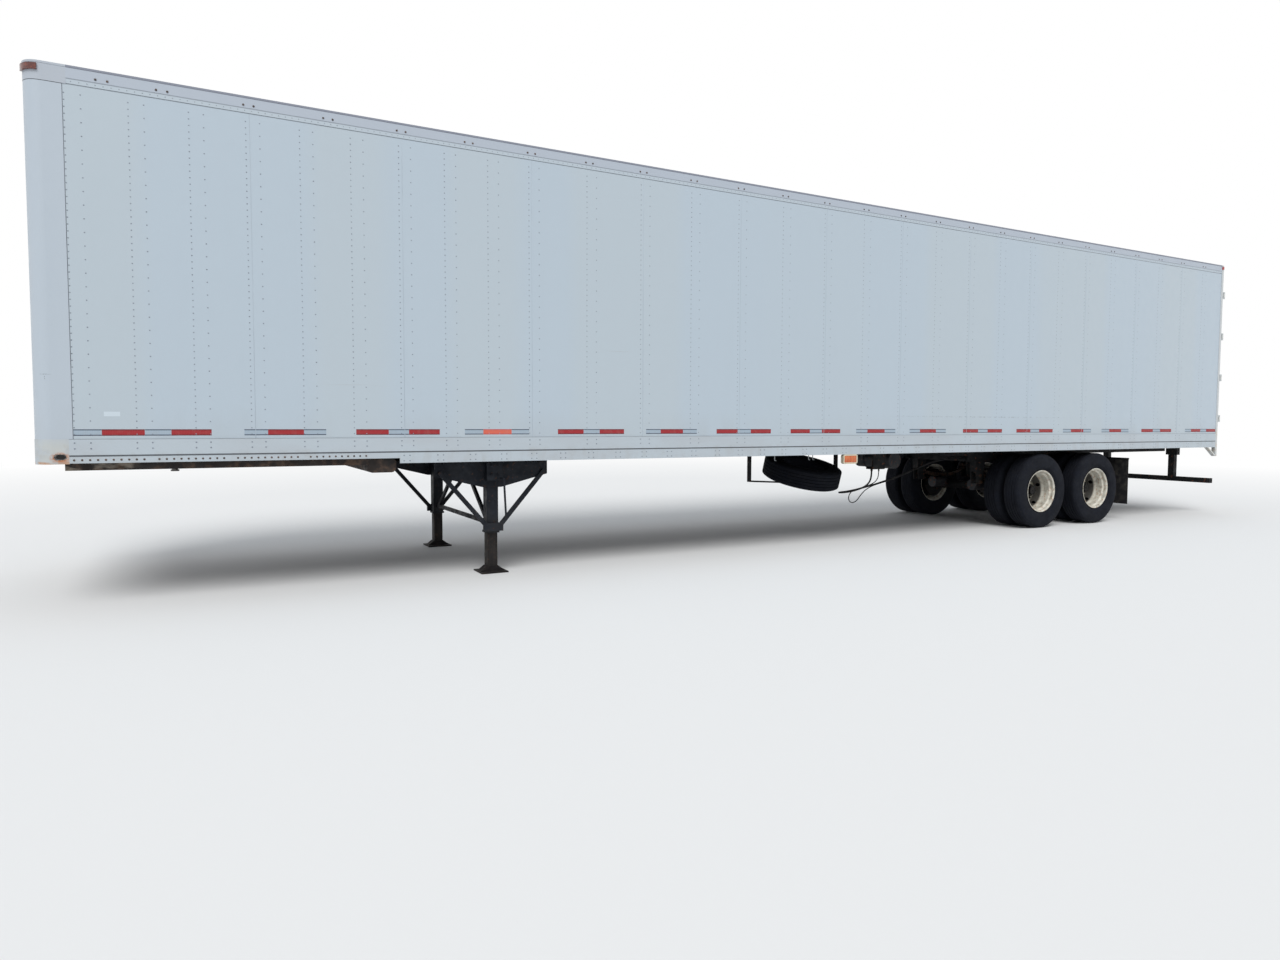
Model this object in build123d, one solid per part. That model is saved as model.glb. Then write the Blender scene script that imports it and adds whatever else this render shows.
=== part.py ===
from build123d import *
import math
import os

os.makedirs("parts", exist_ok=True)

# A tandem-axle dry-freight semi trailer, sheet-and-post body, parked on its legs and wheels.
# Millimetres. X runs from the nose (-) to the rear doors (+), Z up from the ground, and the
# road side is -Y. The origin is on the ground under the middle of the whole trailer.

# Whole body
body_length = 16154.0
body_width = 2591.0
body_height = 4115.0
front_hardware = 62.0
side_lamp_depth = 12.0

# Side walls and their rails
wall_thickness = 41.0
sheet_setback = 6.0
rail_bottom_z = 1104.0
front_rail_bottom_z = 1150.0
rail_step_from_nose = 2680.0
bottom_rail_height = 231.0
rail_web = 10.0
rail_lip_height = 45.0
rail_groove_depth = 4.0
rail_groove_height = 12.0
rail_groove_above_bottom = 96.0
rail_shelf_reach = 50.0
rail_shelf_thickness = 12.0
top_rail_height = 137.0
top_rail_web = 14.0
drip_edge_height = 15.0
top_rail_step_height = 42.0
top_rail_lip_height = 30.0
top_rail_relief = 2.0

# Front corners and nose
corner_side_reach = 250.0
top_casting_reach = 277.0
bottom_casting_reach = 225.0
corner_front_reach = 200.0
corner_radius = 120.0
corner_post_setback = 3.0
nose_thickness = 48.0
nose_bottom_z = 1145.0
lift_hole_from_nose = 168.0
lift_hole_above_bottom = 53.0
lift_hole_length = 80.0
lift_hole_height = 44.0
lift_hole_depth = 34.0

# Roof
roof_sheet = 3.0
bow_depth = 45.0
bow_width = 60.0
bow_gauge = 3.0
first_bow_from_nose = 500.0
second_bow_from_nose = 894.0
bow_pitch = 609.6
last_bow_from_rear = 620.0

# Floor and cross members
floor_thickness = 35.0
crossmember_height = 102.0
crossmember_lift = 6.0
crossmember_flange = 57.0
crossmember_flange_gauge = 6.0
crossmember_web = 5.0
crossmember_pitch = 304.8
first_crossmember_from_nose = 2743.0

# Upper coupler and kingpin
coupler_from_nose = 190.0
coupler_drop = 58.0
coupler_plate_gauge = 8.0
coupler_plate_length = 1500.0
coupler_side_width = 60.0
bolster_from_nose = 2410.0
bolster_length = 250.0
bolster_height = 130.0
bolster_corner = 45.0
coupler_channel_width = 50.0
coupler_channel_pitch = 290.0
stringer_width = 40.0
stringer_offset = 300.0
kingpin_from_nose = 914.0
kingpin_base_radius = 45.0
kingpin_base_clearance = 0.3
kingpin_collar_radius = 36.5
kingpin_neck_radius = 25.4
kingpin_head_radius = 35.7
kingpin_collar_length = 35.0
kingpin_neck_length = 35.0
kingpin_head_length = 14.0

# Rear frame and doors
post_depth = 90.0
post_width = 57.0
post_pocket_depth = 50.0
post_pocket_width = 20.0
post_bottom_z = 955.0
post_gusset_run = 230.0
post_gusset_width = 32.0
header_height = 150.0
door_thickness = 28.0
door_recess = 20.0
door_gap = 6.0
door_meeting_gap = 12.0
hinge_pin_behind_frame = 26.0
hinge_pin_inset = 14.0
hinge_barrel_radius = 12.0
hinge_pin_radius = 8.0
hinge_pin_clearance = 0.4
hinge_barrel_half_height = 30.0
hinge_barrel_gap = 2.0
hinge_ear_height = 24.0
hinge_strap_gauge = 8.0
hinge_strap_reach = 200.0
hinge_strap_clear_of_post = 14.0
hinge_strap_clear_of_face = 7.0
hinge_count = 4
hinge_end_margin = 330.0
lock_rod_from_middle = 330.0
lock_rod_radius = 13.5
lock_rod_clear_of_frame = 6.5
lock_rod_overrun = 32.0
lock_cam_height = 30.0
lock_cam_width = 40.0
lock_cam_wall = 1.0
keeper_clearance = 8.0
keeper_gauge = 8.0
lock_handle_z = 1780.0
lock_handle_length = 340.0
lock_handle_height = 34.0
lock_handle_gauge = 10.0
bumper_depth = 38.0
bumper_width = 150.0
bumper_height = 90.0
bumper_from_middle = 900.0

# Landing legs
leg_from_nose = 3618.0
leg_half_track = 1000.0
leg_outer_size = 114.0
leg_outer_wall = 7.0
leg_outer_bottom_z = 390.0
leg_collar_wall = 9.0
leg_collar_height = 20.0
leg_slide_clearance = 0.3
leg_inner_top_z = 820.0
leg_inner_wall = 8.0
shoe_width = 270.0
shoe_gauge = 12.0
shoe_block_height = 50.0
shoe_block_top = 110.0
wing_gauge = 8.0
wing_top_reach = 570.0
wing_edge_height = 150.0
wing_bottom_reach = 90.0
wing_height = 270.0
brace_width = 40.0
brace_gauge = 30.0
brace_reach = 530.0
brace_head_drop = 110.0
brace_foot_z = 450.0
tie_bar_z = 480.0
tie_gusset_half_width = 80.0
tie_gusset_height = 60.0
cross_shaft_z = 930.0
cross_shaft_radius = 18.0
cross_shaft_from_leg = 36.0
gearbox_width = 160.0
gearbox_height = 200.0
gearbox_depth = 70.0
crank_radius = 10.0
crank_out = 90.0
crank_drop = 380.0
crank_from_leg = 80.0

# Running gear
axle_from_nose = (11640.0, 12885.0)
tyre_radius = 525.0
tyre_width = 270.0
tyre_inset_from_side = 5.0
dual_spacing = 343.0
rim_bead_radius = 286.0
rim_flange_radius = 298.0
rim_half_width = 116.0
rim_gauge = 8.0
rim_well_depth = 20.0
rim_flange_width = 12.0
rim_seat_end = 50.0
rim_well_start = 66.0
disc_gauge = 11.5
disc_flat_radius = 205.0
disc_join_margin = 2.0
disc_bore_radius = 110.5
hand_hole_count = 5
hand_hole_radius = 28.0
hand_hole_from_plane = 62.0
hand_hole_reach = (190.0, 250.0)  # from, to, measured from the axle
tyre_bore_clearance = 0.3
tread_half_width = 102.0
tyre_shoulder = 14.0
tyre_bead_inset = 14.0
tyre_bead_rise = 6.0
tyre_lower_wall = (40.0, 8.0)  # above the rim flange, in from the widest place
tyre_widest_rise = 102.0
tyre_upper_wall = (55.0, 5.0)  # below the tread, in from the widest place
hub_pilot_radius = 110.0
hub_flange_radius = 165.0
hub_flange_gauge = 17.5
hub_barrel_radius = 88.0
hub_cap_radius = 60.0
hub_cap_reach = 146.0
hub_cap_length = 45.0
hub_cap_chamfer = 8.0
hub_pilot_length = 27.5
hub_root_radius = 80.0
hub_root_recess = 12.0
drum_radius = 222.0
drum_wall = 14.0
drum_depth = 207.0
drum_back_from_flange = 34.0
spindle_radius = 45.0
spindle_clearance = 0.5
spindle_end_gap = 10.0
axle_tube_radius = 63.5
shield_radius = 200.0
shield_gauge = 8.0
shield_gap = 6.0

# Suspension
spring_inside_discs = 425.0
spring_width = 76.0
spring_leaf = 18.0
spring_seat_height = 45.0
spring_half_lengths = (520.0, 400.0, 260.0)
spring_camber = 90.0
spring_seat_half_length = 60.0
hanger_width = 110.0
hanger_plate = 13.0
hanger_from_axle = 500.0
hanger_bottom_z = 600.0
end_hanger_half_lengths = (95.0, 65.0)  # top, bottom
middle_hanger_half_lengths = (130.0, 105.0)  # top, bottom
spring_end_clearance = 0.3
u_bolt_radius = 9.0
u_bolt_along = 76.0
u_bolt_across = 49.0
u_bolt_plate_margin = 14.0
u_bolt_plate_gauge = 14.0
u_bolt_top_gap = 3.0
u_bolt_grip = 2.0
u_bolt_overrun = 18.0
equalizer_half_length = 165.0
equalizer_end_depth = 38.0
equalizer_depth = 82.0
equalizer_boss_half_length = 40.0
equalizer_pin_radius = 25.0
radius_rod_radius = 15.0
radius_rod_eye_radius = 21.0
radius_rod_hanger_z = 650.0

# Slider
slide_rail_height = 90.0
slide_rail_gauge = 10.0
slide_rail_inside = 90.0
slide_rail_start_from_nose = 10300.0
slide_rail_end_from_rear = 350.0
bogie_rail_clearance = 0.5
bogie_rail_height = 170.0
bogie_rail_gauge = 10.0
bogie_front_overhang = 750.0
bogie_rear_overhang = 840.0
bogie_cross_width = 110.0
bogie_cross_height = 85.0

# Brakes and air
chamber_radius = 82.0
chamber_length = 230.0
chamber_inside_spring = 179.0
chamber_from_axle = 170.0
chamber_lift = 45.0
chamber_plate = 10.0
chamber_arm_width = 50.0
tank_radius = 115.0
tank_length = 700.0
tank_from_nose = 9700.0
tank_z = 960.0
tank_strap_width = 40.0
tank_strap_gauge = 5.0
tank_bracket_margin = 12.0

# Mud flaps
flap_from_nose = 13690.0
flap_gauge = 8.0
flap_width = 610.0
flap_inset_from_side = 25.5
flap_bottom_z = 250.0
flap_bar_z = 950.0
flap_bar_radius = 15.0

# Rear guard
guard_bar_z = 500.0
guard_bar_height = 80.0
guard_bar_depth = 90.0
guard_end_inset = 50.5
guard_from_rear = 40.0
guard_post_half_track = 600.0
guard_post_width = 100.0
guard_head_width = 190.0
guard_head_height = 150.0

# Spare wheel carrier
spare_from_nose = 8327.0
spare_z = 821.0
spare_tilt = 3.3
spare_lean = 14.3
carrier_width = 70.0
carrier_gauge = 18.0
carrier_foot = 210.0
carrier_front_overhang = 865.0
carrier_rear_overhang = 590.0

# Lamps and connectors
marker_height = 46.0
marker_below_top = 24.0
marker_turn = (8.0, 82.0)  # from the nose face round the corner, in degrees
mid_lamp_from_nose = 8025.0
mid_lamp_length = 225.0
mid_lamp_height = 115.0
mid_lamp_corner = 30.0
mid_lamp_depth = 45.0
mid_lamp_inset = 4.0
rear_lamp_radius = 54.0
rear_lamp_depth = 14.0
rear_lamps_from_middle = (640.0, 780.0)
id_lamp_pitch = 200.0
id_lamp_length = 100.0
id_lamp_height = 36.0
connector_z = 1480.0
connector_plate_gauge = 6.0
connector_plate_half_width = 230.0
connector_plate_half_height = 90.0
gladhand_offset = 150.0
gladhand_radius = 30.0
gladhand_length = 50.0
socket_radius = 38.0

# Hoses between the floor and the bogie
hose_bracket_x_reach = (-115.0, 95.0)  # from the middle between the two exits
hose_bracket_y = (-720.0, -712.0)
hose_shelf_y = -590.0
hose_shelf_z = (870.0, 905.0)
hose_valve_radius = 50.0
hose_valve_y = -645.0
hose_valve_height = 85.0
hose_collar_wall = 4.0
hose_corner_share = 0.45
supply_hose_radius = 11.0
service_hose_radius = 6.0
supply_route = [  # from the nose, y, z
    (9010.0, -620.0, 840.0),
    (9010.0, -620.0, 740.0),
    (8930.0, -628.0, 655.0),
    (8800.0, -636.0, 612.0),
    (8650.0, -640.0, 583.0),
    (8579.0, -569.0, 566.0),
    (8579.0, -468.0, 556.0),
    (8650.0, -397.0, 553.0),
    (8790.0, -390.0, 558.0),
    (9000.0, -392.0, 586.0),
    (9260.0, -398.0, 634.0),
    (9540.0, -404.0, 698.0),
    (9830.0, -408.0, 776.0),
    (10120.0, -411.0, 860.0),
    (10400.0, -414.0, 930.0),
    (10640.0, -416.0, 965.0),
    (10790.0, -417.0, 972.0),
    (10905.0, -417.0, 972.0),
]
service_route = [  # from the nose, y, z
    (9100.0, -660.0, 840.0),
    (9100.0, -660.0, 770.0),
    (9045.0, -663.0, 700.0),
    (8940.0, -667.0, 660.0),
    (8800.0, -668.0, 632.0),
    (8665.0, -665.0, 606.0),
    (8600.0, -659.0, 565.0),
    (8578.0, -652.0, 500.0),
    (8610.0, -645.0, 445.0),
    (8678.0, -640.0, 432.0),
    (8745.0, -634.0, 458.0),
    (8810.0, -626.0, 520.0),
    (8900.0, -617.0, 590.0),
    (9030.0, -608.0, 640.0),
    (9190.0, -600.0, 672.0),
    (9360.0, -590.0, 702.0),
    (9530.0, -580.0, 740.0),
    (9700.0, -570.0, 786.0),
    (9870.0, -560.0, 835.0),
    (10040.0, -548.0, 888.0),
    (10210.0, -535.0, 936.0),
    (10380.0, -515.0, 968.0),
    (10550.0, -495.0, 984.0),
    (10695.0, -479.0, 990.0),
    (10805.0, -475.0, 990.0),
    (10905.0, -475.0, 990.0),
]

# Places that follow from the sizes above
half_width = body_width / 2
rear_hardware = hinge_pin_behind_frame + hinge_barrel_radius
nose_x = -(front_hardware + body_length + rear_hardware) / 2 + front_hardware
rear_x = nose_x + body_length
frame_x = rear_x - post_depth
rail_top_z = rail_bottom_z + bottom_rail_height
wall_seat_z = rail_top_z - rail_lip_height
shelf_top_z = rail_bottom_z + crossmember_lift + crossmember_height
floor_top_z = shelf_top_z + floor_thickness
top_rail_bottom_z = body_height - top_rail_height
wall_top_z = top_rail_bottom_z + top_rail_lip_height
roof_seat_z = body_height - drip_edge_height
wall_outer_y = half_width - sheet_setback
wall_inner_y = wall_outer_y - wall_thickness
side_start_x = nose_x + corner_side_reach
top_casting_end_x = nose_x + top_casting_reach
bottom_casting_end_x = nose_x + bottom_casting_reach
coupler_bottom_z = front_rail_bottom_z - coupler_drop
top_web_inner_y = half_width - top_rail_relief - top_rail_web
shelf_inner_y = half_width - rail_web - rail_shelf_reach
crossmember_bottom_z = rail_bottom_z + crossmember_lift
door_face_x = rear_x - door_recess
pin_x = rear_x + hinge_pin_behind_frame
pin_y = half_width - hinge_pin_inset
door_outer_y = half_width - post_width - door_gap
door_bottom_z = floor_top_z + door_gap
door_top_z = body_height - header_height - door_gap
lock_rod_x = rear_x + lock_rod_clear_of_frame + lock_rod_radius
axle_z = tyre_radius
axle_xs = tuple(nose_x + distance for distance in axle_from_nose)
disc_plane_y = half_width - tyre_inset_from_side - tyre_width / 2 - dual_spacing / 2
spring_half_track = disc_plane_y - spring_inside_discs
chamber_from_middle = spring_half_track - chamber_inside_spring
spring_bottom_z = axle_z + axle_tube_radius + spring_seat_height
spring_top_z = spring_bottom_z + spring_leaf * len(spring_half_lengths)
spring_arc_radius = (spring_half_lengths[0] ** 2 + spring_camber ** 2) / (2 * spring_camber)
spring_end_z = spring_top_z + spring_camber
cam_z = spring_end_z + spring_end_clearance
slide_rail_bottom_z = crossmember_bottom_z - slide_rail_height
bogie_rail_top_z = crossmember_bottom_z - slide_rail_gauge
bogie_rail_bottom_z = bogie_rail_top_z - bogie_rail_height
bogie_rail_half = slide_rail_inside / 2 - bogie_rail_clearance
bogie_front_x = axle_xs[0] - bogie_front_overhang
bogie_rear_x = axle_xs[1] + bogie_rear_overhang
leg_x = nose_x + leg_from_nose


def block(x_range, y_range, z_range):
    """A plain rectangular solid between pairs of coordinates."""
    size = [high - low for low, high in (x_range, y_range, z_range)]
    centre = [(high + low) / 2 for low, high in (x_range, y_range, z_range)]
    return Pos(*centre) * Box(*size)


def run_x(points, x_start, x_end):
    """A section of (y, z) points carried along X."""
    plane = Plane(origin=(x_start, 0, 0), x_dir=(0, 1, 0), z_dir=(1, 0, 0))
    return extrude(plane * Polygon(*points, align=None), x_end - x_start, dir=(1, 0, 0))


def run_y(points, y_start, y_end):
    """A section of (x, z) points carried along Y."""
    plane = Plane(origin=(0, y_start, 0), x_dir=(1, 0, 0), z_dir=(0, -1, 0))
    return extrude(plane * Polygon(*points, align=None), y_end - y_start, dir=(0, 1, 0))


def run_z(points, z_start, z_end):
    """An outline of (x, y) points carried up Z."""
    plane = Plane(origin=(0, 0, z_start), x_dir=(1, 0, 0), z_dir=(0, 0, 1))
    return extrude(plane * Polygon(*points, align=None), z_end - z_start, dir=(0, 0, 1))


def turn_y(points, x, z):
    """A profile of (radius, y) points turned round an axis along Y."""
    plane = Plane(origin=(x, 0, z), x_dir=(0, 0, 1), z_dir=(-1, 0, 0))
    return revolve(plane * Polygon(*points, align=None), Axis((x, 0, z), (0, 1, 0)), 360)


def rod(start, end, radius):
    """A round bar between two points."""
    path = Vector(*end) - Vector(*start)
    plane = Plane(origin=start, z_dir=path)
    return extrude(plane * Circle(radius), path.length)


def bar(start, end, across, deep, side=(0, 1, 0)):
    """A flat bar between two points; across is measured along side."""
    path = Vector(*end) - Vector(*start)
    plane = Plane(origin=start, x_dir=side, z_dir=path)
    return extrude(plane * Rectangle(across, deep), path.length)


def other_side(solid):
    """The same piece on the other side of the trailer."""
    return mirror(solid, about=Plane.XZ)


def both_sides(solid):
    return [solid, other_side(solid)]


def write(name, solids):
    pieces = []
    for shape in solids:
        pieces.extend(shape.solids())
    export_step(Compound(children=pieces), f"parts/{name}.step")


def bottom_rail_part(x_start, x_end, bottom_z):
    """One stretch of side rail: web, groove, floor shelf, wall seat and lip over the sheets."""
    web_in = half_width - rail_web
    groove_low = rail_bottom_z + rail_groove_above_bottom
    groove_high = groove_low + rail_groove_height
    points = [
        (half_width, rail_top_z),
        (half_width, groove_high),
        (half_width - rail_groove_depth, groove_high),
        (half_width - rail_groove_depth, groove_low),
        (half_width, groove_low),
        (half_width, bottom_z),
        (web_in, bottom_z),
        (web_in, shelf_top_z - rail_shelf_thickness),
        (shelf_inner_y, shelf_top_z - rail_shelf_thickness),
        (shelf_inner_y, shelf_top_z),
        (web_in, shelf_top_z),
        (web_in, wall_seat_z - rail_shelf_thickness),
        (wall_inner_y, wall_seat_z - rail_shelf_thickness),
        (wall_inner_y, wall_seat_z),
        (wall_outer_y, wall_seat_z),
        (wall_outer_y, rail_top_z),
    ]
    return run_x(points, x_start, x_end)


def make_bottom_rails():
    step_x = nose_x + rail_step_from_nose
    rail = bottom_rail_part(bottom_casting_end_x, step_x, front_rail_bottom_z)
    rail += bottom_rail_part(step_x, frame_x, rail_bottom_z)
    write("bottom_rails", both_sides(rail))


def make_top_rails():
    face = half_width - top_rail_relief
    lip = half_width - 2 * top_rail_relief
    step_z = top_rail_bottom_z + top_rail_step_height
    points = [
        (half_width, body_height),
        (half_width, roof_seat_z),
        (face, roof_seat_z),
        (face, step_z),
        (lip, step_z),
        (lip, top_rail_bottom_z),
        (wall_outer_y, top_rail_bottom_z),
        (wall_outer_y, wall_top_z),
        (top_web_inner_y, wall_top_z),
        (top_web_inner_y, body_height),
    ]
    rail = run_x(points, top_casting_end_x, frame_x)
    header = block((nose_x, nose_x + nose_thickness), front_span(), (top_rail_bottom_z, body_height))
    write("top_rails", both_sides(rail) + [header])


def front_span():
    """The stretch of the nose between the two corner posts."""
    reach = half_width - corner_front_reach
    return (-reach, reach)


def make_side_walls():
    outline = [
        (bottom_casting_end_x, wall_seat_z),
        (frame_x, wall_seat_z),
        (frame_x, wall_top_z),
        (top_casting_end_x, wall_top_z),
        (top_casting_end_x, top_rail_bottom_z),
        (side_start_x, top_rail_bottom_z),
        (side_start_x, rail_top_z),
        (bottom_casting_end_x, rail_top_z),
    ]
    for name, side in (("side_wall_road", -1), ("side_wall_curb", 1)):
        y_start, y_end = sorted((side * wall_inner_y, side * wall_outer_y))
        write(name, [run_y(outline, y_start, y_end)])


def corner_outline(setback, end_x):
    """Plan of a front corner: a big round outside, square where the lining and floor meet inside."""
    x_out = nose_x + setback
    y_out = half_width - setback
    x_in = nose_x + nose_thickness
    y_in = half_width - nose_thickness
    y_end = half_width - corner_front_reach
    radius = corner_radius - setback
    lean = math.sqrt(0.5)
    outer_mid = (x_out + radius * (1 - lean), y_out - radius * (1 - lean))
    edges = [
        Line((end_x, y_out), (x_out + radius, y_out)),
        ThreePointArc((x_out + radius, y_out), outer_mid, (x_out, y_out - radius)),
        Line((x_out, y_out - radius), (x_out, y_end)),
        Line((x_out, y_end), (x_in, y_end)),
        Line((x_in, y_end), (x_in, y_in)),
        Line((x_in, y_in), (end_x, y_in)),
        Line((end_x, y_in), (end_x, y_out)),
    ]
    return make_face(edges)


def corner_stage(setback, end_x, low, high):
    """A front corner between two heights."""
    return extrude(Pos(0, 0, low) * corner_outline(setback, end_x), high - low, dir=(0, 0, 1))


def make_corners():
    post = corner_stage(corner_post_setback, side_start_x, rail_top_z, top_rail_bottom_z)
    write("corner_posts", both_sides(post))
    low = corner_stage(0.0, bottom_casting_end_x, nose_bottom_z, rail_top_z)
    place = (nose_x + lift_hole_from_nose, half_width, nose_bottom_z + lift_hole_above_bottom)
    mouth = Plane(origin=place, x_dir=(1, 0, 0), z_dir=(0, -1, 0))
    low -= extrude(mouth * SlotOverall(lift_hole_length, lift_hole_height), lift_hole_depth)
    high = corner_stage(top_rail_relief, top_casting_end_x, top_rail_bottom_z, roof_seat_z)
    high += corner_stage(0.0, top_casting_end_x, roof_seat_z, body_height)
    write("corner_castings", both_sides(low) + both_sides(high))


def make_nose():
    x_range = (nose_x + sheet_setback, nose_x + nose_thickness)
    write("front_wall", [block(x_range, front_span(), (rail_top_z, top_rail_bottom_z))])
    x_range = (nose_x, nose_x + nose_thickness)
    write("front_sill", [block(x_range, front_span(), (nose_bottom_z, rail_top_z))])


def bow_places():
    places = [nose_x + first_bow_from_nose]
    x = nose_x + second_bow_from_nose
    while x < rear_x - last_bow_from_rear - bow_pitch / 2:
        places.append(x)
        x += bow_pitch
    places.append(rear_x - last_bow_from_rear)
    return places


def make_roof():
    inner = half_width - nose_thickness
    start = nose_x + nose_thickness
    outline = [
        (start, -inner),
        (top_casting_end_x, -inner),
        (top_casting_end_x, -top_web_inner_y),
        (frame_x, -top_web_inner_y),
        (frame_x, top_web_inner_y),
        (top_casting_end_x, top_web_inner_y),
        (top_casting_end_x, inner),
        (start, inner),
    ]
    write("roof_sheet", [run_z(outline, roof_seat_z, roof_seat_z + roof_sheet)])
    bows = []
    for x in bow_places():
        half = bow_width / 2
        points = [
            (x - half, roof_seat_z),
            (x + half, roof_seat_z),
            (x + half, roof_seat_z - bow_depth),
            (x + half - bow_gauge, roof_seat_z - bow_depth),
            (x + half - bow_gauge, roof_seat_z - bow_gauge),
            (x - half + bow_gauge, roof_seat_z - bow_gauge),
            (x - half + bow_gauge, roof_seat_z - bow_depth),
            (x - half, roof_seat_z - bow_depth),
        ]
        bows.append(run_y(points, -top_web_inner_y, top_web_inner_y))
    write("roof_bows", bows)


def crossmember_places():
    places = []
    x = nose_x + first_crossmember_from_nose
    while x < frame_x - crossmember_flange:
        places.append(x)
        x += crossmember_pitch
    return places


def make_floor():
    inner = half_width - nose_thickness
    x_range = (nose_x + nose_thickness, frame_x)
    write("floor", [block(x_range, (-inner, inner), (shelf_top_z, floor_top_z))])
    beams = []
    half = crossmember_flange / 2
    web = crossmember_web / 2
    low = crossmember_bottom_z
    high = shelf_top_z
    for x in crossmember_places():
        points = [
            (x - half, low),
            (x + half, low),
            (x + half, low + crossmember_flange_gauge),
            (x + web, low + crossmember_flange_gauge),
            (x + web, high - crossmember_flange_gauge),
            (x + half, high - crossmember_flange_gauge),
            (x + half, high),
            (x - half, high),
            (x - half, high - crossmember_flange_gauge),
            (x - web, high - crossmember_flange_gauge),
            (x - web, low + crossmember_flange_gauge),
            (x - half, low + crossmember_flange_gauge),
        ]
        beams.append(run_y(points, -shelf_inner_y, shelf_inner_y))
    write("crossmembers", beams)


def make_coupler():
    start = nose_x + coupler_from_nose
    end = nose_x + bolster_from_nose + bolster_length
    plate_top = coupler_bottom_z + coupler_plate_gauge
    inner = shelf_inner_y
    frame_z = (coupler_bottom_z, shelf_top_z - rail_shelf_thickness)
    coupler = block((start, start + coupler_plate_length), (-inner, inner), (coupler_bottom_z, plate_top))
    x = start
    while x + coupler_channel_width < end:
        coupler += block((x, x + coupler_channel_width), (-inner, inner), (coupler_bottom_z, shelf_top_z))
        x += coupler_channel_pitch
    for side in (-1, 1):
        y_low = side * stringer_offset - stringer_width / 2
        coupler += block((start, end), (y_low, y_low + stringer_width), (coupler_bottom_z, shelf_top_z))
        edge_y = sorted((side * inner, side * (inner - coupler_side_width)))
        coupler += block((start, end - bolster_length / 2), edge_y, frame_z)
    place = (end - bolster_length / 2, -inner, front_rail_bottom_z - bolster_height / 2)
    section = Plane(origin=place, x_dir=(1, 0, 0), z_dir=(0, -1, 0))
    bolster = section * RectangleRounded(bolster_length, bolster_height, bolster_corner)
    coupler += extrude(bolster, 2 * inner, dir=(0, 1, 0))
    kingpin_x = nose_x + kingpin_from_nose
    middle_z = coupler_bottom_z + coupler_plate_gauge / 2
    bore_radius = kingpin_base_radius + kingpin_base_clearance
    coupler -= Pos(kingpin_x, 0, middle_z) * Cylinder(bore_radius, coupler_plate_gauge)
    write("coupler", [coupler])
    stages = [  # radius, length
        (kingpin_base_radius, coupler_plate_gauge),
        (kingpin_collar_radius, kingpin_collar_length),
        (kingpin_neck_radius, kingpin_neck_length),
        (kingpin_head_radius, kingpin_head_length),
    ]
    z = plate_top
    pin = None
    for radius, length in stages:
        stage = Pos(kingpin_x, 0, z - length / 2) * Cylinder(radius, length)
        pin = stage if pin is None else pin + stage
        z -= length
    write("kingpin", [pin])


def hinge_places():
    span = door_top_z - door_bottom_z - 2 * hinge_end_margin
    return [door_bottom_z + hinge_end_margin + span * i / (hinge_count - 1) for i in range(hinge_count)]


def make_rear_frame():
    post = run_z([
        (frame_x, half_width),
        (rear_x - post_pocket_depth, half_width),
        (rear_x - post_pocket_depth, half_width - post_pocket_width),
        (rear_x, half_width - post_pocket_width),
        (rear_x, half_width - post_width),
        (frame_x, half_width - post_width),
    ], post_bottom_z, body_height)
    post += run_y([
        (frame_x - post_gusset_run, rail_bottom_z),
        (frame_x - post_gusset_run + post_gusset_width, rail_bottom_z),
        (frame_x, post_bottom_z + post_gusset_width),
        (frame_x, post_bottom_z),
    ], half_width - post_width, half_width)
    ear_low = hinge_barrel_half_height + hinge_barrel_gap
    for z in hinge_places():
        pin_half = ear_low + hinge_ear_height
        post += Pos(pin_x, pin_y, z) * Cylinder(hinge_pin_radius, 2 * pin_half)
        for low in (z + ear_low, z - ear_low - hinge_ear_height):
            z_range = (low, low + hinge_ear_height)
            y_range = (pin_y - 2 * hinge_barrel_radius, pin_y)
            post += block((rear_x, pin_x), y_range, z_range)
            middle_z = low + hinge_ear_height / 2
            post += Pos(pin_x, pin_y, middle_z) * Cylinder(hinge_barrel_radius, hinge_ear_height)
    write("rear_posts", both_sides(post))
    span = (-(half_width - post_width), half_width - post_width)
    header = block((frame_x, rear_x), span, (body_height - header_height, body_height))
    sill = block((frame_x, rear_x), span, (rail_bottom_z, floor_top_z))
    for side in (-1, 1):
        for reach in (-1, 1):
            inner = lock_cam_width / 2 + keeper_clearance
            y_low = side * lock_rod_from_middle + reach * (inner + keeper_gauge / 2) - keeper_gauge / 2
            y_range = (y_low, y_low + keeper_gauge)
            x_range = (rear_x, lock_rod_x + lock_rod_radius)
            low = body_height - header_height + door_gap
            header += block(x_range, y_range, (low, low + lock_rod_overrun))
            high = floor_top_z - door_gap
            sill += block(x_range, y_range, (high - lock_rod_overrun, high))
    write("rear_header_sill", [header, sill])
    bumper = block((rear_x, rear_x + bumper_depth), (bumper_from_middle, bumper_from_middle + bumper_width),
                   (rail_bottom_z, rail_bottom_z + bumper_height))
    write("dock_bumpers", both_sides(bumper))


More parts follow.
